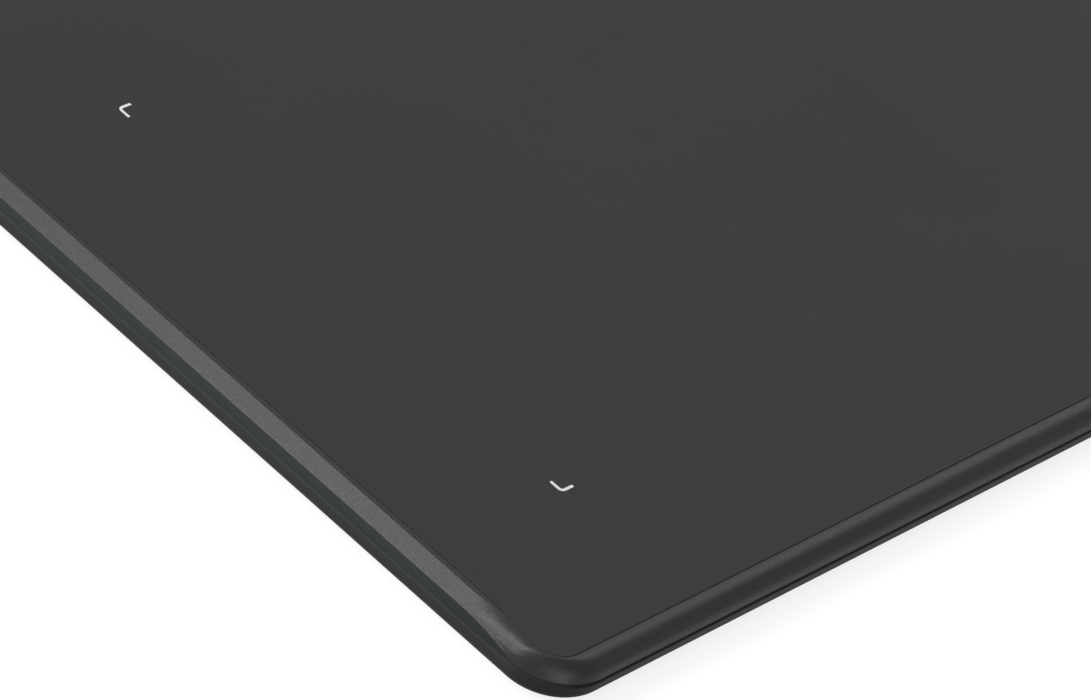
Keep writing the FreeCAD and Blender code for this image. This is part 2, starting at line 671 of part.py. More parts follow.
def make_bottom_cover():
    """Bottom cover: a ribbed tray whose wall creases, leans in and rounds under."""
    body = new_body("bottom_cover")
    upper = new_sketch(body, "upper_wall", level("Sizes.crease_depth"))
    add_wall_outline(upper)
    pad(body, "upper_wall_pad", upper, "(Sizes.crease_depth - Sizes.side_skirt)")
    lower = new_sketch(body, "lower_wall", level("Sizes.crease_depth"))
    add_wall_outline(lower)
    lean = pad(body, "lower_wall_pad", lower, "(Sizes.body_height - Sizes.crease_depth)", downwards=True)
    lean.setExpression("TaperAngle", "-Sizes.lower_lean")
    document.recompute()
    round_edges(body, "bottom_rounding", lean, value_of("Sizes.foot_stand"), "Sizes.bottom_round")

    parting = new_sketch(body, "parting_line", role="YZ_Plane")
    add_parting_region(parting, "Sizes.seam_gap", f"({TOP_FACE} + Sizes.seam_gap)")
    pocket(body, "parting_cut", parting, both_ways=True)

    lip = new_sketch(body, "lip", level(FLOOR_DEPTH))
    lip_inset = "(Sizes.skirt_thickness + Sizes.lip_clearance)"
    add_wall_outline(lip, lip_inset)
    pad(body, "lip_pad", lip, f"({FLOOR_DEPTH} - {PLATE_UNDER} - Sizes.lip_clearance)")
    cavity = new_sketch(body, "cavity", level(FLOOR_DEPTH))
    add_wall_outline(cavity, f"({lip_inset} + Sizes.lip_thickness)")
    pocket(body, "cavity_cut", cavity, upwards=True)

    rib_height = f"({FLOOR_DEPTH} - {SHIELD_UNDER})"
    rib_front = f"({SENSOR_FRONT} + Sizes.rib_end_setback)"
    rib_rear = f"({SENSOR_REAR} - Sizes.connector_margin - Sizes.rib_end_setback)"
    ribs = new_sketch(body, "ribs", level(FLOOR_DEPTH))
    for number in range(RIB_COUNT):
        middle = f"({number - (RIB_COUNT - 1) / 2} * Sizes.rib_pitch)"
        left, right = f"({middle} - Sizes.rib_thickness / 2)", f"({middle} + Sizes.rib_thickness / 2)"
        add_outline(ribs, [(left, rib_front), (right, rib_front), (right, rib_rear), (left, rib_rear)], {})
    pad(body, "rib_pads", ribs, rib_height)

    seats = new_sketch(body, "screw_seats", level(FLOOR_DEPTH))
    for across, along in screw_places():
        add_circle(seats, across, along, "Sizes.screw_seat_radius")
    pad(body, "screw_seat_pads", seats, "Sizes.screw_seat_height")
    holes = new_sketch(body, "screw_holes", "Sizes.foot_stand")
    for across, along in screw_places():
        add_circle(holes, across, along, "(Sizes.screw_shank_radius + Sizes.screw_hole_gap)")
    pocket(body, "screw_holes_cut", holes, "(Sizes.floor_thickness + Sizes.screw_seat_height)", upwards=True)
    sinks = new_sketch(body, "screw_sinks", "Sizes.foot_stand")
    for across, along in screw_places():
        add_circle(sinks, across, along, "(Sizes.screw_head_radius + Sizes.screw_head_gap)")
    pocket(body, "screw_sinks_cut", sinks, "Sizes.screw_head_sink", upwards=True)

    posts = new_sketch(body, "board_posts", level(FLOOR_DEPTH))
    for across, along in board_screw_places():
        add_circle(posts, across, along, "Sizes.board_post_radius")
    pad(body, "board_post_pads", posts, f"({FLOOR_DEPTH} - {BOARD_UNDER})")
    threads = new_sketch(body, "board_pilots", level(BOARD_UNDER))
    for across, along in board_screw_places():
        add_circle(threads, across, along, "(Sizes.board_screw_radius + Sizes.screw_hole_gap)")
    pilot_depth = "(Sizes.board_screw_length + Sizes.board_screw_tip_gap - Sizes.board_thickness)"
    pocket(body, "board_pilots_cut", threads, pilot_depth)

    recesses = new_sketch(body, "foot_recesses", "Sizes.foot_stand")
    for across, along in foot_places().values():
        add_slot(
            recesses, across, along,
            "(Sizes.foot_length + 2 * Sizes.foot_gap)", "(Sizes.foot_width + 2 * Sizes.foot_gap)",
        )
    pocket(body, "foot_recesses_cut", recesses, "Sizes.foot_sink", upwards=True)

    # Sketches on this plane look to the front, so a height is their second coordinate.
    inlet = new_sketch(body, "inlet_opening", f"(-{INLET_BACK})", role="XZ_Plane")
    add_slot(
        inlet, INLET_X, level(INLET_CENTRE),
        "(Sizes.inlet_width + 2 * Sizes.inlet_gap)", "(Sizes.inlet_height + 2 * Sizes.inlet_gap)",
    )
    pocket(body, "inlet_opening_cut", inlet)
    return body


def make_drawing_sheet():
    """Drawing sheet with a window for the key bezel and shallow seats for the printed marks."""
    body = new_body("drawing_sheet")
    outline = new_sketch(body, "outline", level("Sizes.sheet_thickness"))
    add_sheet_outline(outline, "0")
    add_bezel_slot(outline, "Sizes.bezel_gap")
    pad(body, "sheet_pad", outline, "Sizes.sheet_thickness")
    marks = new_sketch(body, "mark_seats", TOP_FACE)
    add_corner_marks(marks)
    pocket(body, "mark_seats_cut", marks, "Sizes.mark_depth")
    return body


def add_corner_marks(sketch):
    """Angle mark with a bent middle at each corner of the drawing area, opening inwards."""
    half = "(Sizes.mark_stroke / 2)"
    bend = "Sizes.mark_bend_radius"
    arm = "Sizes.mark_arm"
    for side, along, inwards in (
        (-1, ACTIVE_FRONT, 1), (1, ACTIVE_FRONT, 1), (-1, ACTIVE_REAR, -1), (1, ACTIVE_REAR, -1),
    ):
        def at(along_arm, up_arm):
            """Point at distances from the corner, inwards along each arm's direction."""
            return f"({side} * (Sizes.active_length / 2 - {along_arm}))", f"({along} + {inwards} * {up_arm})"

        points = [
            at(bend, f"(-{half})"), at(arm, f"(-{half})"), at(arm, half), at(bend, half),
            at(half, bend), at(half, arm), at(f"(-{half})", arm), at(f"(-{half})", bend),
        ]
        arcs = {
            3: (f"({bend} - {half})", *at(bend, bend)),
            7: (f"({bend} + {half})", *at(bend, bend)),
        }
        add_outline(sketch, points, arcs)


def make_area_marks():
    """Printed marks, flush with the drawing surface."""
    body = new_body("area_marks")
    body.AllowCompound = True
    marks = new_sketch(body, "marks", TOP_FACE)
    add_corner_marks(marks)
    pad(body, "marks_pad", marks, "Sizes.mark_depth", downwards=True)
    return body


def make_sheet_adhesive():
    """Adhesive layer that bonds the drawing sheet to the cover's plate."""
    body = new_body("sheet_adhesive")
    outline = new_sketch(body, "outline", level(RECESS_DEPTH))
    add_sheet_outline(outline, "(-Sizes.adhesive_setback)")
    add_bezel_slot(outline, "Sizes.adhesive_setback")
    pad(body, "adhesive_pad", outline, "Sizes.adhesive_thickness")
    return body


def make_key_bezel():
    """Bezel in the well, with a raised rim and a window for each key and for the light."""
    body = new_body("key_bezel")
    outline = new_sketch(body, "outline", level("Sizes.well_depth"))
    add_bezel_slot(outline, "0")
    pad(body, "bezel_pad", outline, "(Sizes.well_depth - Sizes.bezel_sink)")
    dish = new_sketch(body, "dish", level("(Sizes.bezel_sink + Sizes.dish_depth)"))
    add_bezel_slot(dish, "(-Sizes.bezel_rim)")
    pocket(body, "dish_cut", dish, upwards=True)
    windows = new_sketch(body, "windows", level("Sizes.bezel_sink"))
    add_key_windows(windows)
    pocket(body, "windows_cut", windows)
    return body


def make_key(number):
    """Key cap with a flange that holds it under the well, and a stem over its switch."""
    body = new_body(f"key_{number + 1}")
    centre = key_centre(number)
    cap = new_sketch(body, "cap", level(KEY_FLANGE_UNDER))
    add_centred_box(cap, centre, KEY_ROW, "Sizes.key_length", "Sizes.key_width", "Sizes.key_corner_radius")
    cap_pad = pad(body, "cap_pad", cap, f"({KEY_FLANGE_UNDER} - Sizes.key_sink)")
    bevel_edges(body, "cap_bevel", cap_pad, value_of(level("Sizes.key_sink")), "Sizes.key_edge_bevel")
    flange = new_sketch(body, "flange", level(KEY_FLANGE_UNDER))
    add_centred_box(
        flange, centre, KEY_ROW,
        "(Sizes.key_length + 2 * Sizes.key_flange_margin)", "(Sizes.key_width + 2 * Sizes.key_flange_margin)",
        "Sizes.key_corner_radius",
    )
    pad(body, "flange_pad", flange, "Sizes.key_flange_height")
    stem = new_sketch(body, "stem", level(KEY_FLANGE_UNDER))
    add_circle(stem, centre, KEY_ROW, "Sizes.key_stem_radius")
    pad(body, "stem_pad", stem, "Sizes.key_stem_length", downwards=True)
    return body


def make_switch_button(number):
    """Plunger of a key's switch, pressed by the key's stem."""
    height = f"({SWITCH_TOP} - {KEY_STEM_UNDER} + Sizes.button_reach)"
    return cylinder(
        f"switch_button_{number + 1}", key_centre(number), KEY_ROW,
        level(f"({KEY_STEM_UNDER} + {height})"), "Sizes.button_radius", height,
    )


def make_switch_cases():
    """Cases of the four switches, bored for their plungers."""
    cases, bores = [], []
    for number in range(KEY_COUNT):
        centre = key_centre(number)
        cases.append(board_piece(
            f"switch_case_{number + 1}", centre, KEY_ROW,
            "Sizes.switch_size", "Sizes.switch_size", "Sizes.switch_height",
        ))
        bores.append(cylinder(
            f"switch_bore_{number + 1}", centre, KEY_ROW,
            level(BOARD_TOP), "Sizes.switch_bore_radius", "Sizes.switch_height",
        ))
    return cut("switch_cases", join("switch_case_blocks", cases), join("switch_bores", bores))


def sensor_layer(label, top_depth, thickness, rear_setback):
    """One sheet of the stack under the drawing area, holed for the locating pins."""
    blank = box(
        f"{label}_blank", SENSOR_LEFT, SENSOR_FRONT, level(f"({top_depth} + {thickness})"),
        SENSOR_LENGTH, f"{SENSOR_DEPTH} - {rear_setback}", thickness,
    )
    holes = [
        cylinder(
            f"{label}_hole_{number}", across, along, level(f"({top_depth} + {thickness})"),
            "(Sizes.pin_radius + Sizes.pin_hole_gap)", thickness,
        )
        for number, (across, along) in enumerate(pin_places(), start=1)
    ]
    return cut(label, blank, join(f"{label}_holes", holes))


def make_main_board():
    """Main board with screw holes and a notch for the cable inlet."""
    blank = box(
        "main_board_blank", BOARD_LEFT, BOARD_FRONT, level(BOARD_UNDER),
        "Sizes.board_length", "Sizes.board_width", "Sizes.board_thickness",
    )
    openings = [
        cylinder(
            f"main_board_hole_{number}", across, along, level(BOARD_UNDER),
            "(Sizes.board_screw_radius + Sizes.screw_hole_gap)", "Sizes.board_thickness",
        )
        for number, (across, along) in enumerate(board_screw_places(), start=1)
    ]
    openings.append(box(
        "main_board_notch", f"({INLET_X} - Sizes.inlet_width / 2 - Sizes.inlet_gap)", f"({INLET_BACK})",
        level(BOARD_UNDER), "(Sizes.inlet_width + 2 * Sizes.inlet_gap)", "Sizes.inlet_length",
        "Sizes.board_thickness",
    ))
    return cut("main_board", blank, join("main_board_openings", openings))


def board_piece(label, across, along, length, width, height):
    """Block that stands on the main board, about a centre."""
    return box(
        label, f"{across} - {length} / 2", f"{along} - {width} / 2", level(BOARD_TOP),
        length, width, height,
    )


def make_board_chips():
    """Memory, regulator and crystal beside the controller."""
    beside = "(Sizes.board_length / 2 - 2 * Sizes.board_screw_inset - Sizes.chip_size)"
    return join("board_chips", [
        board_piece(
            f"small_chip_{number + 1}", f"({beside} - {number} * Sizes.small_chip_pitch)",
            f"({BOARD_REAR} - Sizes.chip_size)",
            "Sizes.small_chip_length", "Sizes.small_chip_width", "Sizes.small_chip_height",
        )
        for number in range(SMALL_CHIP_COUNT)
    ])


def make_inlet_shell():
    """Metal shell of the cable inlet, closed at its inner end."""
    body = new_body("inlet_shell")
    outer = new_sketch(body, "outer", f"(-{INLET_BACK})", role="XZ_Plane")
    add_slot(outer, INLET_X, level(INLET_CENTRE), "Sizes.inlet_width", "Sizes.inlet_height")
    pad(body, "shell_pad", outer, "Sizes.inlet_length", downwards=True)
    inner = new_sketch(body, "inner", f"(-{INLET_BACK} - Sizes.inlet_wall)", role="XZ_Plane")
    add_slot(
        inner, INLET_X, level(INLET_CENTRE),
        "(Sizes.inlet_width - 2 * Sizes.inlet_wall)", "(Sizes.inlet_height - 2 * Sizes.inlet_wall)",
    )
    pocket(body, "shell_cut", inner)
    return body


def make_inlet_tongue():
    """Contact tongue inside the inlet's shell."""
    return box(
        "inlet_tongue", f"{INLET_X} - Sizes.tongue_width / 2", f"({INLET_BACK} + Sizes.inlet_wall)",
        f"{level(INLET_CENTRE)} - Sizes.tongue_height / 2",
        "Sizes.tongue_width", "Sizes.tongue_length", "Sizes.tongue_height",
    )


def make_ribbon_parts():
    """Two sockets and the flat cable that joins the boards."""
    across = "(-Sizes.ribbon_offset)"
    socket_left = f"({across} - Sizes.ribbon_socket_length / 2)"
    sensor_socket = box(
        "sensor_socket", socket_left, f"({SENSOR_REAR} - Sizes.ribbon_socket_width)",
        level(f"({SENSOR_UNDER} + Sizes.ribbon_socket_height)"),
        "Sizes.ribbon_socket_length", "Sizes.ribbon_socket_width", "Sizes.ribbon_socket_height",
    )
    board_socket = box(
        "board_socket", socket_left, BOARD_FRONT, level(BOARD_TOP),
        "Sizes.ribbon_socket_length", "Sizes.ribbon_socket_width", "Sizes.ribbon_socket_height",
    )
    ribbon_under = f"({SENSOR_UNDER} + Sizes.ribbon_socket_height)"
    ribbon = box(
        "ribbon_cable", f"({across} - Sizes.ribbon_width / 2)", SENSOR_REAR, level(ribbon_under),
        "Sizes.ribbon_width", f"({BOARD_FRONT} - {SENSOR_REAR})", "Sizes.ribbon_thickness",
    )
    return sensor_socket, board_socket, ribbon


def make_light_parts():
    """Lamp on the board and the guide that carries its light up through the bezel."""
    lamp = board_piece(
        "status_lamp", "0", KEY_ROW, "Sizes.lamp_length", "Sizes.lamp_width", "Sizes.lamp_height",
    )
    lamp_top = f"({BOARD_TOP} - Sizes.lamp_height)"
    guide = cylinder(
        "light_guide", "0", KEY_ROW, level(lamp_top), "Sizes.light_radius",
        f"({lamp_top} - Sizes.bezel_sink - Sizes.dish_depth)",
    )
    return lamp, guide


def make_foot(label, across, along):
    """Rubber foot in its recess, with a bevelled lower edge."""
    body = new_body(label)
    outline = new_sketch(body, "outline", "0")
    add_slot(outline, across, along, "Sizes.foot_length", "Sizes.foot_width")
    foot_pad = pad(body, "foot_pad", outline, "(Sizes.foot_stand + Sizes.foot_sink)")
    bevel_edges(body, "foot_bevel", foot_pad, 0, "Sizes.foot_edge_bevel")
    return body


def make_cover_screws():
    """Screws that hold the bottom cover to the posts of the top cover."""
    pieces = []
    for number, (across, along) in enumerate(screw_places(), start=1):
        head_bottom = "(Sizes.foot_stand + Sizes.screw_head_sink - Sizes.screw_head_height)"
        pieces.append(cylinder(
            f"cover_screw_head_{number}", across, along, head_bottom,
            "Sizes.screw_head_radius", "Sizes.screw_head_height",
        ))
        pieces.append(cylinder(
            f"cover_screw_shank_{number}", across, along, f"({head_bottom} + Sizes.screw_head_height)",
            "Sizes.screw_shank_radius", "Sizes.screw_length",
        ))
    return join("cover_screws", pieces)


def make_board_screws():
    """Screws that hold the main board to the bottom cover."""
    pieces = []
    for number, (across, along) in enumerate(board_screw_places(), start=1):
        pieces.append(cylinder(
            f"board_screw_head_{number}", across, along, level(BOARD_TOP),
            "Sizes.board_screw_head_radius", "Sizes.board_screw_head_height",
        ))
        pieces.append(cylinder(
            f"board_screw_shank_{number}", across, along,
            level(f"({BOARD_TOP} + Sizes.board_screw_length)"),
            "Sizes.board_screw_radius", "Sizes.board_screw_length",
        ))
    return join("board_screws", pieces)


def make_sub_parts():
    """Every sub-part of the tablet, in the order in which it is put together."""
    sensor_rear = "Sizes.connector_margin"
    parts = [
        make_top_cover(),
        make_sheet_adhesive(),
        make_drawing_sheet(),
        make_area_marks(),
        make_key_bezel(),
        sensor_layer("sensor_film", PLATE_UNDER, "Sizes.film_thickness", "0"),
        sensor_layer("sensor_board", SENSOR_TOP, "Sizes.sensor_thickness", "0"),
        sensor_layer("sensor_foam", SENSOR_UNDER, "Sizes.foam_thickness", sensor_rear),
        sensor_layer("shield_plate", FOAM_UNDER, "Sizes.shield_thickness", sensor_rear),
        make_bottom_cover(),
        make_main_board(),
        make_board_chips(),
        board_piece(
            "controller_chip", "(Sizes.key_pitch + Sizes.key_middle_gap / 2)",
            f"({BOARD_REAR} - Sizes.chip_size)", "Sizes.chip_size", "Sizes.chip_size", "Sizes.chip_height",
        ),
        make_inlet_shell(),
        make_inlet_tongue(),
        make_switch_cases(),
    ]
    parts.extend(make_ribbon_parts())
    parts.extend(make_light_parts())
    for number in range(KEY_COUNT):
        parts.append(make_key(number))
        parts.append(make_switch_button(number))
    for label, (across, along) in foot_places().items():
        parts.append(make_foot(label, across, along))
    parts.append(make_cover_screws())
    parts.append(make_board_screws())
    return parts


def check_document(parts):
    """Stop if any object failed or any sub-part has no sound shape."""
    for item in document.Objects:
        if "Invalid" in item.State or "Error" in item.State:
            raise RuntimeError(f"{item.Label} failed: {item.State}")
    for item in parts:
        if item.Shape.isNull() or not item.Shape.isValid() or not item.Shape.Solids:
            raise RuntimeError(f"{item.Label} has no sound solid")


def main():
    """Build every sub-part, check it and write it to its own file."""
    parts = make_sub_parts()
    document.recompute()
    check_document(parts)
    os.makedirs("parts", exist_ok=True)
    for item in parts:
        item.Shape.exportStep(f"parts/{item.Label}.step")
        print(item.Label, len(item.Shape.Solids), round(item.Shape.Volume, 1))


main()
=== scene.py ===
"""Looks of a flat pen tablet, seen from close over its front left corner.

Lengths in the classes are millimetres, measured as on the real object: x to the right, y to the
rear and z up, with depths measured down from the drawing surface. Points of the meshes and all
sizes of the studio are metres.
"""

import json
import logging
import math
from collections.abc import Iterable, Sequence
from dataclasses import dataclass, replace
from enum import Enum
from functools import cache

import bmesh
import bpy
from mathutils import Matrix, Quaternion, Vector


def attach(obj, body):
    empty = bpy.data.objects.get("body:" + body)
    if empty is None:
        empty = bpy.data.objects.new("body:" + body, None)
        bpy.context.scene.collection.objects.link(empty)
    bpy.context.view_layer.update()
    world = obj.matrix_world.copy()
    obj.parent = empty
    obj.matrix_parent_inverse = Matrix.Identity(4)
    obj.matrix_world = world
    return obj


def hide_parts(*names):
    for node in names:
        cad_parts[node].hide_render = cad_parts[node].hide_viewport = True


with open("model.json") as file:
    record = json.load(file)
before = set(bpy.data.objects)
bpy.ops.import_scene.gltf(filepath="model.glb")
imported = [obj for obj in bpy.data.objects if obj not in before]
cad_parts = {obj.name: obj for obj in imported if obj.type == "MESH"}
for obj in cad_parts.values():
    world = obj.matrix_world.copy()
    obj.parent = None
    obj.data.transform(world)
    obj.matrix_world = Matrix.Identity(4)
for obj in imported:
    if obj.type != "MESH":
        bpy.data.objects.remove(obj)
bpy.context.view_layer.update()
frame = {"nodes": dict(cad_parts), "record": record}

log = logging.getLogger("pen_tablet")

Pair = tuple[float, float]
Triple = tuple[float, float, float]
Colour = tuple[float, float, float, float]
Ring = list[Vector]
Edges = list[bmesh.types.BMEdge]
Mesh = bmesh.types.BMesh
Piece = bpy.types.Object
Socket = bpy.types.NodeSocket
Value = float | Sequence[float] | Socket
Inputs = dict[str | int, Value]

MM = 0.001
MERGE_DISTANCE = 1e-7
SHARP_ANGLE = math.radians(35.0)
HOUSING = "housing"
KEY_NUMBERS = (1, 2, 3, 4)
FOOT_PLACES = {
    "front_left_foot": (-75.6, -74.6), "front_right_foot": (75.6, -74.6),
    "rear_left_foot": (-75.6, 74.6), "rear_right_foot": (75.6, 74.6),
}

# How strong each finer octave of a noise is beside the one before
OCTAVE_SHARE = 0.55

# Facets of a circle, of a slot's round end and of a rectangle's rounded corner
CIRCLE_STEPS, END_STEPS, CORNER_STEPS = 36, 24, 10

# Places of the colours among a Mix node's inputs, and of their mixture among its outputs
FIRST_COLOUR, SECOND_COLOUR, MIXED_COLOUR = 6, 7, 2


# Materials


def srgb(*levels: float) -> Colour:
    """Linear colour, with an alpha of 1, of red, green and blue given in display levels up to 255."""
    shares = [level / 255 for level in levels]
    return (*(s / 12.92 if s <= 0.04045 else ((s + 0.055) / 1.055) ** 2.4 for s in shares), 1.0)


def shade(colour: Colour, factor: float) -> Colour:
    """Colour made darker or lighter by a factor."""
    return (*(level * factor for level in colour[:3]), 1.0)


class NodeTree:
    """Shader nodes of a material or of the world."""

    def __init__(self, holder: bpy.types.ID) -> None:
        """Start without nodes.

        Args:
            holder: the material or the world.
        """
        holder.use_nodes = True
        self.nodes, self.links = holder.node_tree.nodes, holder.node_tree.links
        self.nodes.clear()

    def add(self, kind: str, inputs: Inputs, **choices: str) -> bpy.types.Node:
        """Add a node.

        Args:
            kind: its type, without the words that all shader nodes start with.
            inputs: a constant or a socket for each input that is set.
            choices: the node's own settings.

        Returns:
            The node.
        """
        node = self.nodes.new("ShaderNode" + kind)
        for name, choice in choices.items():
            setattr(node, name, choice)
        for name, value in inputs.items():
            if isinstance(value, Socket):
                self.links.new(value, node.inputs[name])
            else:
                node.inputs[name].default_value = value
        return node

    def place(self) -> Socket:
        """Coordinates of the object itself."""
        return self.add("TexCoord", {}).outputs["Object"]

    def noise(self, place: Socket, size: float, detail: float) -> Socket:
        """Noise from 0 to 1 whose features are about one size, with some finer octaves."""
        inputs = {"Vector": place, "Scale": 1 / (size * MM), "Detail": detail, "Roughness": OCTAVE_SHARE}
        return self.add("TexNoise", inputs).outputs["Fac"]

    def remapped(self, value: Socket, start: float, end: float,
                 low: float = 0.3, high: float = 0.7) -> Socket:
        """Value stretched so that low becomes start and high becomes end."""
        inputs = {"Value": value, "From Min": low, "From Max": high, "To Min": start, "To Max": end}
        return self.add("MapRange", inputs).outputs["Result"]

    def around(self, value: Socket, middle: float, share: float) -> Socket:
        """Number that follows a value, from a share below its middle to the same share above."""
        return self.remapped(value, middle * (1 - share), middle * (1 + share))

    def mixed(self, value: Socket, first: Colour, second: Colour) -> Socket:
        """Blend of two colours by a value."""
        inputs = {"Factor": self.remapped(value, 0.0, 1.0), FIRST_COLOUR: first, SECOND_COLOUR: second}
        return self.add("Mix", inputs, data_type="RGBA").outputs[MIXED_COLOUR]

    def background_share(self, sheen: float = 1.0) -> Socket:
        """How much of the background's white a ray sees.

        Args:
            sheen: the share that it has in gloss and glass.

        Returns:
            The socket, which gives 1 to the camera and 0 to light.
        """
        rays = self.add("LightPath", {}).outputs
        share = rays["Is Camera Ray"]
        for kind in ("Is Glossy Ray", "Is Transmission Ray"):
            dimmed = self.add("Math", {0: rays[kind], 1: sheen}, operation="MULTIPLY").outputs["Value"]
            share = self.add("Math", {0: share, 1: dimmed}, operation="MAXIMUM").outputs["Value"]
        return share


@dataclass(frozen=True)
class Finish:
    """A material whose nodes read the object's own coordinates."""

    name: str
    colour: Colour

    def inputs(self, tree: NodeTree) -> Inputs:
        """What feeds the inputs of the shader."""
        raise NotImplementedError

    def build(self) -> bpy.types.Material:
        """Make the material.

        Returns:
            The material.
        """
        material = bpy.data.materials.new(self.name)
        tree = NodeTree(material)
        shader = tree.add("BsdfPrincipled", self.inputs(tree))
        tree.add("OutputMaterial", {"Surface": shader.outputs["BSDF"]})
        return material


@dataclass(frozen=True)
class Moulding(Finish):
    """Moulded plastic or rubber with a fine grain, faint mottling and even sheen."""

    roughness: float
    ior: float = 1.4
    grain_size: float = 0.16
    grain_depth: float = 0.004
    mottle_size: float = 9.0
    mottle: float = 0.04
    uneven: float = 0.04
    speckle: float = 0.05
    shine: float = 0.5
    glint: float = 0.05

    def inputs(self, tree: NodeTree) -> Inputs:
        """Fine noise for specks, glints and bumps, and coarse noise for tint and sheen.

        Args:
            tree: the material's nodes.

        Returns:
            What feeds each input of the shader.
        """
        place = tree.place()
        grain = tree.noise(place, self.grain_size, detail=2.0)
        mottle = tree.noise(place, self.mottle_size, detail=3.0)
        tint = tree.mixed(mottle, shade(self.colour, 1 - self.mottle), shade(self.colour, 1 + self.mottle))
        fleck = {"Factor": 1.0, FIRST_COLOUR: tint, SECOND_COLOUR: tree.around(grain, 1.0, self.speckle)}
        flecked = tree.add("Mix", fleck, data_type="RGBA", blend_type="MULTIPLY")
        bump = tree.add("Bump", {"Height": grain, "Distance": self.grain_depth * MM, "Strength": 1.0})
        return {
            "Base Color": flecked.outputs[MIXED_COLOUR],
            "Roughness": tree.around(mottle, self.roughness, self.uneven),
            "IOR": self.ior,
            "Specular IOR Level": tree.around(grain, self.shine, self.glint),
            "Normal": bump.outputs["Normal"],
        }


@dataclass(frozen=True)
class Metal(Finish):
    """Plated or rolled metal with fine lines along one axis."""

    roughness: float
    uneven: float = 0.15
    darkest: float = 0.88
    lightest: float = 1.08
    line_size: float = 0.12
    stretch: float = 12.0

    def inputs(self, tree: NodeTree) -> Inputs:
        """One stretched noise for tint and sheen.

        Args:
            tree: the material's nodes.

        Returns:
            What feeds each input of the shader.
        """
        stretched = tree.add("Mapping", {"Vector": tree.place(), "Scale": (1 / self.stretch, 1.0, 1.0)})
        lines = tree.noise(stretched.outputs["Vector"], self.line_size, detail=3.0)
        dark, light = shade(self.colour, self.darkest), shade(self.colour, self.lightest)
        return {
            "Base Color": tree.mixed(lines, dark, light),
            "Roughness": tree.around(lines, self.roughness, self.uneven),
            "Metallic": 1.0,
        }


@dataclass(frozen=True)
class Board(Finish):
    """Circuit board under solder resist, with the faint pattern of its tracks."""

    roughness: float = 0.35
    track_pitch: float = 1.4
    track_bend: float = 1.5
    track_edges: Pair = (0.7, 0.8)
    track_light: float = 1.5

    def inputs(self, tree: NodeTree) -> Inputs:
        """Bent bands for the tracks.

        Args:
            tree: the material's nodes.

        Returns:
            What feeds each input of the shader.
        """
        scale = 1 / (self.track_pitch * MM * math.tau)
        bands = tree.add("TexWave", {"Vector": tree.place(), "Scale": scale, "Distortion": self.track_bend})
        tracks = tree.remapped(bands.outputs["Fac"], 0.0, 1.0, *self.track_edges)
        tint = tree.mixed(tracks, self.colour, shade(self.colour, self.track_light))
        return {"Base Color": tint, "Roughness": self.roughness}


@dataclass(frozen=True)
class ClearMoulding(Finish):
    """Clear plastic of the light guide, slightly clouded."""

    cloud_size: float = 0.8
    cloud: float = 0.92
    roughness: Pair = (0.12, 0.22)
    clearness: float = 0.6
    ior: float = 1.49

    def inputs(self, tree: NodeTree) -> Inputs:
        """One noise for the clouding.

        Args:
            tree: the material's nodes.

        Returns:
            What feeds each input of the shader.
        """
        clouds = tree.noise(tree.place(), self.cloud_size, detail=2.0)
        return {
            "Base Color": tree.mixed(clouds, shade(self.colour, self.cloud), self.colour),
            "Roughness": tree.remapped(clouds, *self.roughness),
            "Transmission Weight": self.clearness,
            "IOR": self.ior,
        }


class Slot(Enum):
    """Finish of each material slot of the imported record, and of the gilt contacts."""

    COVER = Moulding(
        "cover_plastic", srgb(31, 32, 34), 0.38, ior=1.3,
        grain_size=0.2, grain_depth=0.02, speckle=0.2, glint=0.3,
    )
    LOWER = Moulding(
        "lower_plastic", srgb(37, 40, 39), 0.4, ior=1.13, grain_size=0.25, grain_depth=0.008, speckle=0.08,
    )
    SHEET = Moulding(
        "sheet_surface", srgb(37, 38, 40), 0.6, ior=1.25,
        grain_size=0.10, grain_depth=0.001, mottle=0.015, mottle_size=25.0, speckle=0.02,
    )
    INK = Moulding("mark_ink", srgb(196, 196, 197), 0.6, grain_size=0.08, grain_depth=0.001)
    KEY = Moulding("key_plastic", srgb(52, 53, 55), 0.4)
    BEZEL = Moulding("bezel_plastic", srgb(30, 30, 32), 0.35)
    RUBBER = Moulding("foot_rubber", srgb(34, 34, 34), 0.8, grain_size=0.3, grain_depth=0.01)
    ADHESIVE = Moulding("adhesive", srgb(196, 196, 188), 0.5)
    FILM = Moulding("film", srgb(88, 88, 88), 0.4)
    BOARD = Board("circuit_board", srgb(20, 88, 60))
    FOAM = Moulding("foam", srgb(68, 68, 70), 0.95, grain_size=0.5, grain_depth=0.08, speckle=0.25)
    SHIELD = Metal("shield_metal", srgb(222, 223, 225), 0.35, line_size=0.4)
    STEEL = Metal("steel", srgb(196, 196, 198), 0.3)
    CONTACT = Metal("contact_metal", srgb(226, 190, 120), 0.3)
    CHIP = Moulding("chip_plastic", srgb(36, 36, 38), 0.55)
    CONNECTOR = Moulding("connector_plastic", srgb(224, 218, 205), 0.5)
    RIBBON = Moulding("ribbon_film", srgb(230, 230, 228), 0.4)
    LENS = ClearMoulding("lens_plastic", srgb(243, 246, 249))


@cache
def material_of(slot: Slot) -> bpy.types.Material:
    """Material of a slot, made when it is first asked for."""
    return slot.value.build()


# Outlines and meshes


def s_curve(along: float, run: float, shift: float) -> float:
    """Shift at a place along an S-curve of two equal arcs.

    Args:
        along: distance from the curve's start.
        run: length of the curve.
        shift: the whole shift from its start to its end.

    Returns:
        The shift there, none before the start and the whole past the end.
    """
    if shift <= 0 or along <= 0:
        return 0.0
    if along >= run:
        return shift
    bend = (run * run + shift * shift) / (4 * shift)
    if along <= run / 2:
        return bend - math.sqrt(bend * bend - along * along)
    return shift - bend + math.sqrt(bend * bend - (run - along) ** 2)


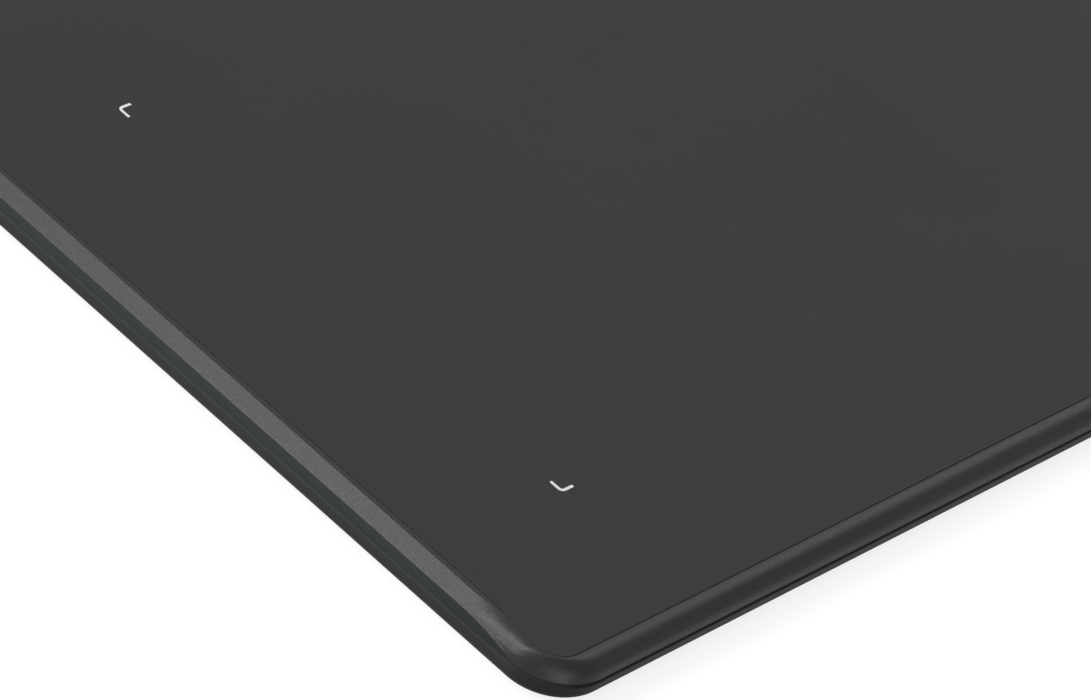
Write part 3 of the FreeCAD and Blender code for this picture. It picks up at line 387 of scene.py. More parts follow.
def eased(y: float, start: float, end: float) -> float:
    """Share of a smooth change that is done at y, from none at the start to all at the end."""
    share = min(max((start - y) / (start - end), 0.0), 1.0)
    return share * share * (3 - 2 * share)


def quarter_round(radius: float, steps: int = 5) -> list[Pair]:
    """Distances in from the wall and down from the face along a rounded edge, from wall to face."""
    turns = [step / steps * math.pi / 2 for step in range(steps + 1)]
    return [(radius * (1 - math.cos(turn)), radius * (1 - math.sin(turn))) for turn in turns]


@dataclass(frozen=True)
class Plan:
    """Rounded outline of the housing's pieces, whose sides may flare outwards to the front corners."""

    side: float
    wide: float
    front: float
    rear: float
    front_radius: float
    rear_radius: float
    flare_end: float

    def side_at(self, y: float) -> float:
        """Half length at a place along the side."""
        start = self.front + self.front_radius
        return self.wide - s_curve(y - start, self.flare_end - start, self.wide - self.side)


class Part(Enum):
    """Stretches of a plan, from the middle of the front to the middle of the rear."""

    FRONT = "front"
    FRONT_CORNER = "front corner"
    DIP = "dip"
    SIDE = "side"
    REAR_CORNER = "rear corner"
    REAR = "rear"


PART_STEPS = {
    Part.FRONT: 36, Part.FRONT_CORNER: 48, Part.DIP: 56,
    Part.SIDE: 20, Part.REAR_CORNER: 32, Part.REAR: 20,
}


@dataclass(frozen=True)
class Station:
    """One point's place round a plan: its stretch, its share of that stretch and its side."""

    part: Part
    share: float
    hand: int

    def on(self, plan: Plan, dip_end: float) -> Pair:
        """Point of a plan at this station.

        Args:
            plan: the plan.
            dip_end: y at which the stretch of the dip ends.

        Returns:
            x and y.
        """
        near, far = plan.front_radius, plan.rear_radius
        turn = self.share * math.pi / 2
        if self.part is Part.FRONT:
            x, y = self.share * (plan.wide - near), plan.front
        elif self.part is Part.FRONT_CORNER:
            x = plan.wide - near * (1 - math.sin(turn))
            y = plan.front + near * (1 - math.cos(turn))
        elif self.part is Part.DIP:
            start = plan.front + near
            y = start + self.share * (dip_end - start)
            x = plan.side_at(y)
        elif self.part is Part.SIDE:
            x, y = plan.side, dip_end + self.share * (plan.rear - far - dip_end)
        elif self.part is Part.REAR_CORNER:
            x = plan.side - far * (1 - math.cos(turn))
            y = plan.rear - far * (1 - math.sin(turn))
        else:
            x, y = (1 - self.share) * (plan.side - far), plan.rear
        return x * self.hand, y


def round_stations() -> list[Station]:
    """Stations of a whole plan.

    Returns:
        The stations, anticlockwise from the middle of the front.
    """
    half = [(part, step / steps) for part, steps in PART_STEPS.items() for step in range(steps)]
    right = [Station(part, share, 1) for part, share in half]
    left = [Station(part, share, -1) for part, share in reversed(half[1:])]
    return right + [Station(Part.REAR, 1.0, 1)] + left


STATIONS = round_stations()


@dataclass(frozen=True)
class Outline:
    """Outline of equal arcs round its centres, which grows as their radius does."""

    centres: Sequence[Pair]
    radius: float
    steps: int
    first_turn: float = 0.0

    @classmethod
    def disc(cls, centre: Pair, radius: float) -> "Outline":
        """A circle."""
        return cls([centre], radius, CIRCLE_STEPS)

    @classmethod
    def slot(cls, centre: Pair, length: float, width: float) -> "Outline":
        """A slot with round ends."""
        ends = [(centre[0] + side * (length - width) / 2, centre[1]) for side in (1, -1)]
        return cls(ends, width / 2, END_STEPS, -math.pi / 2)

    @classmethod
    def rectangle(cls, centre: Pair, length: float, width: float, radius: float) -> "Outline":
        """A rectangle with rounded corners.

        Args:
            centre: x and y of its centre.
            length: its size along x.
            width: its size along y.
            radius: radius of its corners.

        Returns:
            The outline.
        """
        across, along = length / 2 - radius, width / 2 - radius
        signs = ((1, 1), (-1, 1), (-1, -1), (1, -1))
        corners = [(centre[0] + x * across, centre[1] + y * along) for x, y in signs]
        return cls(corners, radius, CORNER_STEPS)

    def ring(self, growth: float, height: float) -> Ring:
        """Ring of the outline at one height.

        Args:
            growth: distance by which it is grown.
            height: height of the points.

        Returns:
            The points in metres, anticlockwise.
        """
        reach, sweep = self.radius + growth, math.tau / len(self.centres)
        # One circle closes on its first point, but each of several arcs has an end of its own
        stops = self.steps if len(self.centres) == 1 else self.steps + 1
        points = []
        for number, (x, y) in enumerate(self.centres):
            for step in range(stops):
                turn = self.first_turn + (number + step / self.steps) * sweep
                points.append(Vector((x + reach * math.cos(turn), y + reach * math.sin(turn), height)) * MM)
        return points

    def rings(self, profile: Iterable[Pair]) -> list[Ring]:
        """Ring for each pair of a growth and a height."""
        return [self.ring(growth, height) for growth, height in profile]

    def upright_ring(self, growth: float, y: float) -> Ring:
        """Ring of the outline stood up across y, so that its own y is a height."""
        return [Vector((point.x, y * MM, point.y)) for point in self.ring(growth, 0.0)]


class Skin:
    """Closed skin of rings that are extruded from level to level and capped."""

    def __init__(self) -> None:
        """Start an empty mesh, whose points keep their number in their ring."""
        self.mesh = bmesh.new()
        self.number = self.mesh.verts.layers.int.new("station")

    def ring(self, places: Ring) -> Edges:
        """Add a ring.

        Args:
            places: its points in metres.

        Returns:
            Its edges.
        """
        points = []
        for index, place in enumerate(places):
            point = self.mesh.verts.new(place)
            point[self.number] = index
            points.append(point)
        return [self.mesh.edges.new(pair) for pair in zip(points, points[1:] + points[:1])]

    def extrude(self, edges: Edges, rings: Iterable[Ring]) -> Edges:
        """Extrude a ring through several levels.

        Args:
            edges: the ring's edges.
            rings: the points of each level, in metres.

        Returns:
            The last level's edges.
        """
        for places in rings:
            made = bmesh.ops.extrude_edge_only(self.mesh, edges=edges)["geom"]
            old = {point for edge in edges for point in edge.verts}
            for item in made:
                if isinstance(item, bmesh.types.BMVert):
                    item.co = places[item[self.number]]
            fresh = [item for item in made if isinstance(item, bmesh.types.BMEdge)]
            edges = [edge for edge in fresh if not old.intersection(edge.verts)]
        return edges

    def tube(self, outline: Outline, growth: float, start: float, end: float) -> tuple[Edges, Edges]:
        """Add the wall along an outline between two heights, and give the edges of its ends."""
        first = self.ring(outline.ring(growth, start))
        return first, self.extrude(first, [outline.ring(growth, end)])

    def smooth(self) -> None:
        """Shade all faces made so far smooth."""
        for face in self.mesh.faces:
            face.smooth = True

    def cap(self, *rings: Edges) -> None:
        """Fill the flat region between rings, shaded flat.

        Args:
            rings: the edges of its outer border and of the holes in it.
        """
        edges = [edge for ring in rings for edge in ring]
        made = bmesh.ops.triangle_fill(self.mesh, edges=edges, use_beauty=True, use_dissolve=False)
        for item in made["geom"]:
            if isinstance(item, bmesh.types.BMFace):
                item.smooth = False


def lathe(profile: Sequence[Pair], centres: Iterable[Pair]) -> Mesh:
    """Solids turned from one profile round upright axes.

    Args:
        profile: radius and height of each point, from the axis to the axis.
        centres: x and y of each axis.

    Returns:
        The mesh of all solids.
    """
    mesh = bmesh.new()
    for x, y in centres:
        points = [mesh.verts.new(Vector((x + radius, y, height)) * MM) for radius, height in profile]
        edges = [mesh.edges.new(pair) for pair in zip(points, points[1:])]
        bmesh.ops.spin(
            mesh, geom=points + edges, cent=Vector((x, y, 0.0)) * MM, axis=(0.0, 0.0, 1.0),
            angle=math.tau, steps=CIRCLE_STEPS, use_merge=True,
        )
    for face in mesh.faces:
        face.smooth = True
    return mesh


def new_object(mesh: Mesh, name: str, material: bpy.types.Material) -> Piece:
    """Make an object at the origin.

    Args:
        mesh: its mesh, which is used up.
        name: its name.
        material: its material.

    Returns:
        The object.
    """
    data = bpy.data.meshes.new(name)
    mesh.to_mesh(data)
    mesh.free()
    data.materials.append(material)
    made = bpy.data.objects.new(name, data)
    bpy.context.scene.collection.objects.link(made)
    return made


def carve(piece: Piece, cutter: Mesh) -> None:
    """Cut a shape out of a piece.

    Args:
        piece: the piece, which keeps its object and gets a new mesh.
        cutter: the shape, which is used up.
    """
    bmesh.ops.recalc_face_normals(cutter, faces=cutter.faces)
    tool = new_object(cutter, "cutter", piece.active_material)
    cut = piece.modifiers.new("cut", "BOOLEAN")
    cut.operation, cut.solver, cut.object = "DIFFERENCE", "EXACT", tool
    graph = bpy.context.evaluated_depsgraph_get()
    carved = bpy.data.meshes.new_from_object(piece.evaluated_get(graph))
    piece.modifiers.remove(cut)
    bpy.data.objects.remove(tool)
    before, piece.data = piece.data, carved
    bpy.data.meshes.remove(before)
    carved.name = piece.name


def finished(mesh: Mesh, name: str, slot: Slot, *nodes: str, body: str = HOUSING,
             cutter: Mesh | None = None) -> Piece:
    """Make a closed piece with its faces outwards, on its body and in place of its nodes.

    Args:
        mesh: the mesh, which is used up.
        name: the piece's name.
        slot: its finish.
        nodes: the nodes that it stands for.
        body: the body that it rides on.
        cutter: a shape that is cut out of it, which is used up.

    Returns:
        The piece.
    """
    bmesh.ops.remove_doubles(mesh, verts=mesh.verts, dist=MERGE_DISTANCE)
    bmesh.ops.dissolve_degenerate(mesh, edges=mesh.edges, dist=MERGE_DISTANCE)
    bmesh.ops.recalc_face_normals(mesh, faces=mesh.faces)
    piece = new_object(mesh, name, material_of(slot))
    if cutter:
        carve(piece, cutter)
    piece.data.set_sharp_from_angle(angle=SHARP_ANGLE)
    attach(piece, body)
    if nodes:
        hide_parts(*nodes)
    return piece


# The tablet


@dataclass(frozen=True)
class Housing:
    """Sizes that the pieces of the housing share."""

    half_length: float = 109.6
    front: float = -85.6
    rear: float = 85.6
    top: float = 8.8
    wall_radius: float = 9.9
    dip_start: float = 20.7
    dip_end: float = 3.7
    dip_margin: float = 0.5
    side_skirt: float = 2.05
    front_skirt: float = 4.0
    recess_depth: float = 0.8
    sheet_gap: float = 0.12

    def wall(self, inset: float = 0.0) -> Plan:
        """Plan of the wall, moved inwards."""
        side, radius = self.half_length - inset, self.wall_radius - inset
        return Plan(side, side, self.front + inset, self.rear - inset, radius, radius, self.front)

    def place(self, station: Station, plan: Plan) -> Pair:
        """x and y of a plan at a station."""
        return station.on(plan, self.front + self.dip_start + self.dip_margin)

    def point(self, station: Station, plan: Plan, depth: float) -> Vector:
        """Point of a plan at a station and depth, in metres."""
        return Vector((*self.place(station, plan), self.top - depth)) * MM

    def ring(self, plan: Plan, depth: float) -> Ring:
        """Ring of a plan at one depth, in metres."""
        return [self.point(station, plan, depth) for station in STATIONS]

    def parting_depth(self, y: float) -> float:
        """Depth of the parting line, which dips along the side."""
        along, run = self.front + self.dip_start - y, self.dip_start - self.dip_end
        return self.side_skirt + s_curve(along, run, self.front_skirt - self.side_skirt)

    def partings(self) -> list[float]:
        """Depth of the parting line at each station."""
        return [self.parting_depth(self.place(station, self.wall())[1]) for station in STATIONS]


@dataclass(frozen=True)
class KeyRow:
    """Places and outlines of the keys, their bezel and the light between them."""

    housing: Housing
    row: float = 64.0
    pitch: float = 17.0
    middle_gap: float = 4.0
    key_length: float = 14.0
    key_width: float = 8.0
    corner_radius: float = 1.6
    key_gap: float = 0.3
    light_radius: float = 0.9
    light_gap: float = 0.1
    bezel_end_margin: float = 6.5
    bezel_side_margin: float = 3.0
    bezel_gap: float = 0.12
    well_depth: float = 1.5

    def key_centre(self, number: int) -> Pair:
        """x and y of a key, counted from 1 at the left."""
        steps = number - (len(KEY_NUMBERS) + 1) / 2
        return steps * self.pitch + math.copysign(self.middle_gap / 2, steps), self.row

    def key(self, number: int) -> Outline:
        """Outline of a key."""
        return Outline.rectangle(self.key_centre(number), self.key_length, self.key_width, self.corner_radius)

    def bezel(self) -> Outline:
        """Outline of the bezel round all keys."""
        reach = self.key_centre(KEY_NUMBERS[-1])[0] + self.key_length / 2 + self.bezel_end_margin
        return Outline.slot((0.0, self.row), 2 * reach, self.key_width + 2 * self.bezel_side_margin)

    def add_windows(self, skin: Skin, upper: float, lower: float) -> tuple[list[Edges], list[Edges]]:
        """Add the walls of the key windows and the light's hole between two depths.

        Args:
            skin: the skin that gets them.
            upper: depth of their upper ends.
            lower: depth of their lower ends.

        Returns:
            The rings of the upper ends and those of the lower ends.
        """
        holes = [(self.key(number), self.key_gap) for number in KEY_NUMBERS]
        holes.append((Outline.disc((0.0, self.row), self.light_radius), self.light_gap))
        top = self.housing.top
        tubes = [skin.tube(outline, gap, top - upper, top - lower) for outline, gap in holes]
        return [first for first, _ in tubes], [last for _, last in tubes]


@dataclass(frozen=True)
class SheetPlan:
    """Plan of the drawing sheet, whose sides flare to the front corners."""

    housing: Housing
    side_seam: float = 3.1
    front_seam: float = 3.12
    flare: float = 1.06
    corner_radius: float = 4.4
    rear_radius: float = 6.8
    flare_start: float = 19.3

    def grown(self, growth: float) -> Plan:
        """Plan grown by a margin.

        Args:
            growth: the margin.

        Returns:
            The plan.
        """
        house = self.housing
        side = house.half_length - self.side_seam + growth
        front, rear = house.front + self.front_seam - growth, house.rear - self.side_seam + growth
        near, far = self.corner_radius + growth, self.rear_radius + growth
        return Plan(side, side + self.flare, front, rear, near, far, house.front + self.flare_start)


class Zone(Enum):
    """Stretch of the top cover's edge from the drawing surface down, and its steps."""

    CREST = 6
    FACE = 20
    LIP = 8


@dataclass
class TopCover:
    """Frame round the sheet: flat chamfers that melt before the front corners into a rolled palm edge."""

    housing: Housing
    sheet: SheetPlan
    keys: KeyRow
    chamfer_width: float = 2.05
    spread: Pair = (-65.0, -73.0)
    melt: Pair = (-65.0, -77.5)
    rim_margin: float = 0.02
    roll_width: float = 2.9
    roll_drop: float = 3.0
    first_roll: float = math.radians(8.0)
    roll_share: float = 0.8
    crest_radius: float = 4.6
    rear_crest_radius: float = 8.0
    skirt: float = 2.2
    plate_under: float = 2.0
    well_under: float = 2.4
    well_wall: float = 1.5
    crest_round: float = 0.14
    crest_rim_share: float = 0.5
    groove_round: float = 0.06
    groove_rim_share: float = 0.25
    lip_round: float = 0.12
    hold: float = 0.04
    hold_share: float = 0.3

    def flat_section(self, zone: Zone, share: float, parting: float, width: float,
                     crest_round: float) -> Pair:
        """Inset and depth on the chamfered section.

        Args:
            zone: stretch of the section.
            share: place within it, from 0 at its top.
            parting: depth of the parting line.
            width: width of the chamfer.
            crest_round: radius between the rim and the chamfer.

        Returns:
            Inset from the wall and depth below the drawing surface.
        """
        lip = self.lip_round
        slope = math.atan2(parting - lip, width)
        if zone is Zone.CREST:
            turn = share * slope
            inset = width + crest_round * (math.tan(slope / 2) - math.sin(turn))
            return inset, crest_round * (1 - math.cos(turn))
        if zone is Zone.LIP:
            turn = slope + share * (math.pi - slope)
            return lip * (1 - math.sin(turn)), parting - lip * (1 + math.cos(turn))
        top = self.flat_section(Zone.CREST, 1.0, parting, width, crest_round)
        end = self.flat_section(Zone.LIP, 0.0, parting, width, crest_round)
        return top[0] + share * (end[0] - top[0]), top[1] + share * (end[1] - top[1])

    def rolled_section(self, zone: Zone, share: float, parting: float) -> Triple:
        """Place on the rolled section.

        Args:
            zone: stretch of the section.
            share: place within it, from 0 at its top.
            parting: depth of the parting line.

        Returns:
            Inset as a share of the roll's width, depth, and the angle turned on the roll.
        """
        wall_end = parting - self.lip_round
        drop = min(self.roll_drop, wall_end)
        if zone is Zone.LIP:
            turn = (1 + share) * math.pi / 2
            inset = self.lip_round * (1 - math.sin(turn)) / self.roll_width
            return inset, wall_end - self.lip_round * math.cos(turn), math.pi / 2
        if zone is Zone.CREST:
            turn = share * self.first_roll
        else:
            turn = self.first_roll + min(share / self.roll_share, 1.0) * (math.pi / 2 - self.first_roll)
        depth = drop * (1 - math.cos(turn))
        if zone is Zone.FACE and share > self.roll_share:
            depth = drop + (share - self.roll_share) / (1 - self.roll_share) * (wall_end - drop)
        return 1 - math.sin(turn), depth, turn

    def edge_point(self, station: Station, zone: Zone, share: float, rim: float) -> Vector:
        """Point of the outer surface.

        Args:
            station: place round the plan.
            zone: stretch of the section.
            share: place within it, from 0 at its top.
            rim: width of the rim beside the crest.

        Returns:
            The point in metres.
        """
        house = self.housing
        y = house.place(station, house.wall())[1]
        parting, melt = house.parting_depth(y), eased(y, *self.melt)
        room = house.half_length - self.sheet.grown(house.sheet_gap).side_at(y) - self.rim_margin
        crest_round = min(self.crest_round, self.crest_rim_share * rim)
        width = self.chamfer_width + (room - crest_round - self.chamfer_width) * eased(y, *self.spread)
        inset, depth = self.flat_section(zone, share, parting, width, crest_round)
        rolled, roll_depth, turn = self.rolled_section(zone, share, parting)
        wall = house.wall_radius
        near = self.crest_radius + (wall - self.crest_radius) * math.sin(turn)
        far = wall - (wall - self.rear_crest_radius) * min(inset / self.chamfer_width, 1.0)
        side = house.half_length - (1 - melt) * inset - melt * rolled * room
        front = house.front + rolled * self.roll_width
        plan = Plan(side, side, front, house.rear - inset, near, far, house.front)
        return house.point(station, plan, (1 - melt) * depth + melt * roll_depth)

    def edge_ring(self, zone: Zone, share: float, rims: Sequence[float]) -> Ring:
        """Ring of the outer surface, for the width of the rim at each station."""
        return [self.edge_point(station, zone, share, rim) for station, rim in zip(STATIONS, rims)]

    def rings(self) -> Iterable[Ring]:
        """Rings from the groove's floor, over the rim and down the outside, to the inner wall.

        Yields:
            Each ring's points.
        """
        house = self.housing
        groove = house.ring(self.sheet.grown(house.sheet_gap), 0.0)
        crest = self.edge_ring(Zone.CREST, 0.0, [1.0] * len(STATIONS))
        rims = [(outer - inner).length / MM for inner, outer in zip(groove, crest)]
        for inset, drop in quarter_round(self.groove_round, 4):
            ring = []
            for station, rim in zip(STATIONS, rims):
                scale = min(1.0, self.groove_rim_share * rim / self.groove_round)
                plan = self.sheet.grown(house.sheet_gap + inset * scale)
                ring.append(house.point(station, plan, drop * scale))
            yield ring
        first = self.edge_ring(Zone.CREST, 0.0, rims)
        for end in (False, True):
            held = []
            for start, finish in zip(ring, first):
                share = min(self.hold_share, self.hold * MM / max((finish - start).length, MERGE_DISTANCE))
                held.append(start.lerp(finish, 1 - share if end else share))
            yield held
        for zone in Zone:
            for step in range(0 if zone is Zone.CREST else 1, zone.value + 1):
                yield self.edge_ring(zone, step / zone.value, rims)
        inner = house.wall(self.skirt)
        yield [house.point(station, inner, depth) for station, depth in zip(STATIONS, house.partings())]
        yield house.ring(inner, self.plate_under)

    def build(self) -> list[Piece]:
        """Make the cover with its plate and the opening of the key well.

        Returns:
            The piece.
        """
        house, keys, bezel = self.housing, self.keys, self.keys.bezel()
        top, well_floor = house.top, house.top - keys.well_depth
        skin = Skin()
        floor = skin.ring(house.ring(self.sheet.grown(house.sheet_gap), house.recess_depth))
        inside = skin.extrude(floor, self.rings())
        skin.smooth()
        rim, well = skin.tube(bezel, keys.bezel_gap, top - house.recess_depth, well_floor)
        block, under = skin.tube(bezel, self.well_wall, top - self.plate_under, top - self.well_under)
        tops, bottoms = keys.add_windows(skin, keys.well_depth, self.well_under)
        skin.cap(floor, rim)
        skin.cap(well, *tops)
        skin.cap(inside, block)
        skin.cap(under, *bottoms)
        return [finished(skin.mesh, "top_cover_shell", Slot.COVER, "top_cover")]


@dataclass
class DrawingSheet:
    """Drawing sheet with softened edges and a window for the key bezel."""

    housing: Housing
    sheet: SheetPlan
    keys: KeyRow
    thickness: float = 0.7
    edge_gap: float = 0.07
    front_shift: float = 0.09
    print_height: float = 0.004
    edge_round: float = 0.2

    def ring(self, inset: float, depth: float) -> Ring:
        """Ring of the sheet, moved inwards."""
        plan = self.sheet.grown(-inset - self.edge_gap)
        return self.housing.ring(replace(plan, front=plan.front - self.front_shift), depth)

    def build(self) -> list[Piece]:
        """Make the sheet.

        Returns:
            The piece.
        """
        top, bezel, gap = self.housing.top, self.keys.bezel(), self.keys.bezel_gap
        rounds = [(inset, self.print_height + drop) for inset, drop in quarter_round(self.edge_round)]
        skin = Skin()
        under = skin.ring(self.ring(0.0, self.thickness))
        upper = skin.extrude(under, [self.ring(inset, depth) for inset, depth in rounds])
        window = skin.ring(bezel.ring(gap, top - self.thickness))
        opening = skin.extrude(window, bezel.rings((gap + inset, top - depth) for inset, depth in rounds))
        skin.smooth()
        skin.cap(upper, opening)
        skin.cap(under, window)
        return [finished(skin.mesh, "drawing_surface", Slot.SHEET, "drawing_sheet")]


@dataclass
class BottomCover:
    """Tray whose wall swells to a crease, leans in and rounds under."""

    housing: Housing
    feet: Sequence["Foot"]
    inlet: "Inlet"
    crease_depth: float = 4.75
    lean: float = math.radians(12.0)
    bottom_depth: float = 8.0
    bottom_round: float = 2.0
    round_steps: int = 10
    floor_depth: float = 6.6
    lip_inset: float = 2.35
    lip_thickness: float = 1.0
    lip_depth: float = 2.15
    edge_round: float = 0.06
    seam: float = 0.11
    swell: float = 0.2
    swell_run: float = 0.5
    upper_steps: tuple[float, ...] = (0.3, 0.6, 0.76, 0.8, 0.84, 0.88, 0.92, 0.96, 1.0)
    lower_steps: tuple[float, ...] = (0.04, 0.2, 0.5, 0.8)
    hole_round: float = 0.1
    screw_inset: float = 11.0
    sink_radius: float = 2.15
    sink_depth: float = 1.1
    foot_gap: float = 0.15
    foot_recess: float = 0.5
    inlet_gap: float = 0.2
    cut_past: float = 1.0

    @property
    def screw_places(self) -> list[Pair]:
        """x and y of the screws: one in each corner and one at the palm edge.

        Returns:
            The places, the four corners first.
        """
        x = self.housing.half_length - self.screw_inset
        front, rear = self.housing.front + self.screw_inset, self.housing.rear - self.screw_inset
        return [(-x, front), (x, front), (-x, rear), (x, rear), (0.0, front)]

    def wall_ring(self, inset: float, depths: Iterable[float]) -> Ring:
        """Ring on the wall above the crease, where it swells out, for the depth at each station.

        Args:
            inset: distance in from the wall.
            depths: the depth at each station.

        Returns:
            The points in metres.
        """
        ring = []
        for station, depth in zip(STATIONS, depths):
            share = min(max((self.crease_depth - depth) / self.swell_run, 0.0), 1.0)
            swell = self.swell * math.sin(share * math.pi / 2) ** 2
            ring.append(self.housing.point(station, self.housing.wall(swell + inset), depth))
        return ring

    def lower_profile(self) -> Iterable[Pair]:
        """Inset and depth of the wall below the crease.

        Yields:
            The pairs, from the crease to the flat underside.
        """
        lean, radius = self.lean, self.bottom_round
        run = self.bottom_depth - radius * (1 - math.sin(lean)) - self.crease_depth
        inset = run * math.tan(lean)
        for share in self.lower_steps:
            yield share * inset, self.crease_depth + share * run
        for step in range(self.round_steps + 1):
            turn = lean + step / self.round_steps * (math.pi / 2 - lean)
            along = inset + radius * (math.cos(lean) - math.cos(turn))
            yield along, self.bottom_depth - radius * (1 - math.sin(turn))

    def rings(self) -> Iterable[Ring]:
        """Rings from the top of the lip, over the parting ledge and down the outside.

        Yields:
            Each ring's points.
        """
        house = self.housing
        lip = house.wall(self.lip_inset)
        ledge = [depth + self.seam for depth in house.partings()]
        yield house.ring(house.wall(self.lip_inset + self.lip_thickness), self.lip_depth)
        yield house.ring(lip, self.lip_depth)
        yield [house.point(station, lip, depth) for station, depth in zip(STATIONS, ledge)]
        for inset, drop in reversed(quarter_round(self.edge_round, 4)):
            yield self.wall_ring(inset, [depth + drop for depth in ledge])
        starts = [depth + self.edge_round for depth in ledge]
        for share in self.upper_steps:
            yield self.wall_ring(0.0, [start + share * (self.crease_depth - start) for start in starts])
        for inset, depth in self.lower_profile():
            yield house.ring(house.wall(inset), depth)

    def add_pit(self, skin: Skin, outline: Outline, gap: float, pit_depth: float) -> Edges:
        """Sunk pit in the underside with a softened rim.

        Args:
            skin: the cover's skin.
            outline: outline of what sits in the pit.
            gap: gap between that and the pit.
            pit_depth: height of the pit above the underside.

        Returns:
            The rim's edges.
        """
        under = self.housing.top - self.bottom_depth
        rim = skin.ring(outline.ring(gap + self.hole_round, under))
        rounds = reversed(quarter_round(self.hole_round, 3)[:-1])
        profile = [(gap + inset, under + drop) for inset, drop in rounds]
        edges = skin.extrude(rim, outline.rings(profile + [(gap, under + pit_depth)]))
        for edge in edges:
            for face in edge.link_faces:
                face.smooth = True
        skin.cap(edges)
        return rim

    def build(self) -> list[Piece]:
        """Make the tray with its pits and the opening of the inlet.

        Returns:
            The piece.
        """
        house = self.housing
        skin = Skin()
        inner = house.wall(self.lip_inset + self.lip_thickness)
        floor = skin.ring(house.ring(inner, self.floor_depth))
        under = skin.extrude(floor, self.rings())
        skin.smooth()
        skin.cap(floor)
        sinks = [Outline.disc(place, self.sink_radius) for place in self.screw_places]
        rims = [self.add_pit(skin, sink, 0.0, self.sink_depth) for sink in sinks]
        rims += [self.add_pit(skin, foot.outline(), self.foot_gap, self.foot_recess) for foot in self.feet]
        skin.cap(under, *rims)
        opening, mouth = Skin(), self.inlet.outline()
        back = opening.ring(mouth.upright_ring(self.inlet_gap, self.inlet.back))
        opening.cap(back)
        opening.cap(opening.extrude(back, [mouth.upright_ring(self.inlet_gap, house.rear + self.cut_past)]))
        return [finished(skin.mesh, "bottom_cover_shell", Slot.LOWER, "bottom_cover", cutter=opening.mesh)]


@dataclass
class Bezel:
    """Dark trim in the key well, with a soft rim round a shallow dish."""

    keys: KeyRow
    sink: float = 0.15
    rim: float = 1.2
    dish_depth: float = 0.7
    edge_round: float = 0.2
    dish_round: float = 0.25

    def build(self) -> list[Piece]:
        """Make the bezel.

        Returns:
            The piece.
        """
        keys, floor, edge = self.keys, self.sink + self.dish_depth, quarter_round(self.edge_round)
        profile = [(inset, self.sink + drop) for inset, drop in edge]
        profile += [(self.rim - inset, self.sink + drop) for inset, drop in reversed(edge)]
        profile += [(self.rim + inset, floor - drop) for inset, drop in quarter_round(self.dish_round)]
        outline, top = keys.bezel(), keys.housing.top
        skin = Skin()
        under = skin.ring(outline.ring(0.0, top - keys.well_depth))
        dish = skin.extrude(under, outline.rings((-inset, top - depth) for inset, depth in profile))
        skin.smooth()
        tops, bottoms = keys.add_windows(skin, floor, keys.well_depth)
        skin.cap(dish, *tops)
        skin.cap(under, *bottoms)
        return [finished(skin.mesh, "key_trim", Slot.BEZEL, "key_bezel")]


@dataclass
class Key:
    """Key cap with rounded edges, a dished top, a flange and a stem."""

    keys: KeyRow
    number: int
    sink: float = 0.25
    edge_round: float = 0.5
    dish: float = 0.22
    dish_start: float = 0.85
    outer_steps: tuple[float, ...] = (0.15, 0.35, 0.6, 0.85)
    inner_steps: tuple[float, ...] = (0.25, 0.5, 0.75, 0.92)
    flange_margin: float = 0.9
    flange_top: float = 2.5
    flange_under: float = 3.1
    stem_radius: float = 1.6
    stem_under: float = 3.5

    def rings(self, top: float) -> Iterable[Ring]:
        """Rings from the foot of the cap, over its edge and down into its dish.

        Args:
            top: height of the drawing surface.

        Yields:
            Each ring's points.
        """
        cap = self.keys.key(self.number)
        yield cap.ring(0.0, top - self.flange_top)
        for inset, drop in quarter_round(self.edge_round, 8):
            yield cap.ring(-inset, top - self.sink - drop)
        reach = self.keys.corner_radius - self.edge_round
        for share in self.outer_steps:
            ring = cap.ring(-self.edge_round - share * reach, top - self.sink - self.dish * share * share)
            yield ring
        middle = Vector((*self.keys.key_centre(self.number), 0.0)) * MM
        start = self.dish * self.dish_start ** 2
        for share in self.inner_steps:
            depth = self.sink + start + (self.dish - start) * math.sin(share * math.pi / 2)
            flat = [middle.lerp(place.xy.to_3d(), 1 - share) for place in ring]
            yield [Vector((place.x, place.y, (top - depth) * MM)) for place in flat]

    def build(self) -> list[Piece]:
        """Make the key, which rides on its own body.

        Returns:
            The piece.
        """
        row, top = self.keys, self.keys.housing.top
        centre, margin = row.key_centre(self.number), 2 * self.flange_margin
        length, width = row.key_length + margin, row.key_width + margin
        flange = Outline.rectangle(centre, length, width, row.corner_radius)
        skin = Skin()
        under, upper = skin.tube(flange, 0.0, top - self.flange_under, top - self.flange_top)
        bmesh.ops.edgenet_fill(skin.mesh, edges=skin.extrude(upper, self.rings(top)))
        skin.smooth()
        stem = Outline.disc(centre, self.stem_radius)
        root, foot = skin.tube(stem, 0.0, top - self.flange_under, top - self.stem_under)
        skin.cap(under, root)
        skin.cap(foot)
        name = f"key_{self.number}"
        return [finished(skin.mesh, f"key_cap_{self.number}", Slot.KEY, name, body=name)]


@dataclass
class LightGuide:
    """Clear peg between the middle keys, domed on top."""

    keys: KeyRow
    bottom: float = 4.4
    top: float = 7.95
    dome: float = 0.25
    dome_steps: int = 8

    def build(self) -> list[Piece]:
        """Make the light guide.

        Returns:
            The piece.
        """
        radius = self.keys.light_radius
        profile = [(0.0, self.bottom), (radius, self.bottom)]
        for step in range(self.dome_steps + 1):
            turn = step / self.dome_steps * math.pi / 2
            profile.append((radius * math.cos(turn), self.top - self.dome * (1 - math.sin(turn))))
        mesh = lathe(profile, [(0.0, self.keys.row)])
        return [finished(mesh, "light_peg", Slot.LENS, "light_guide")]


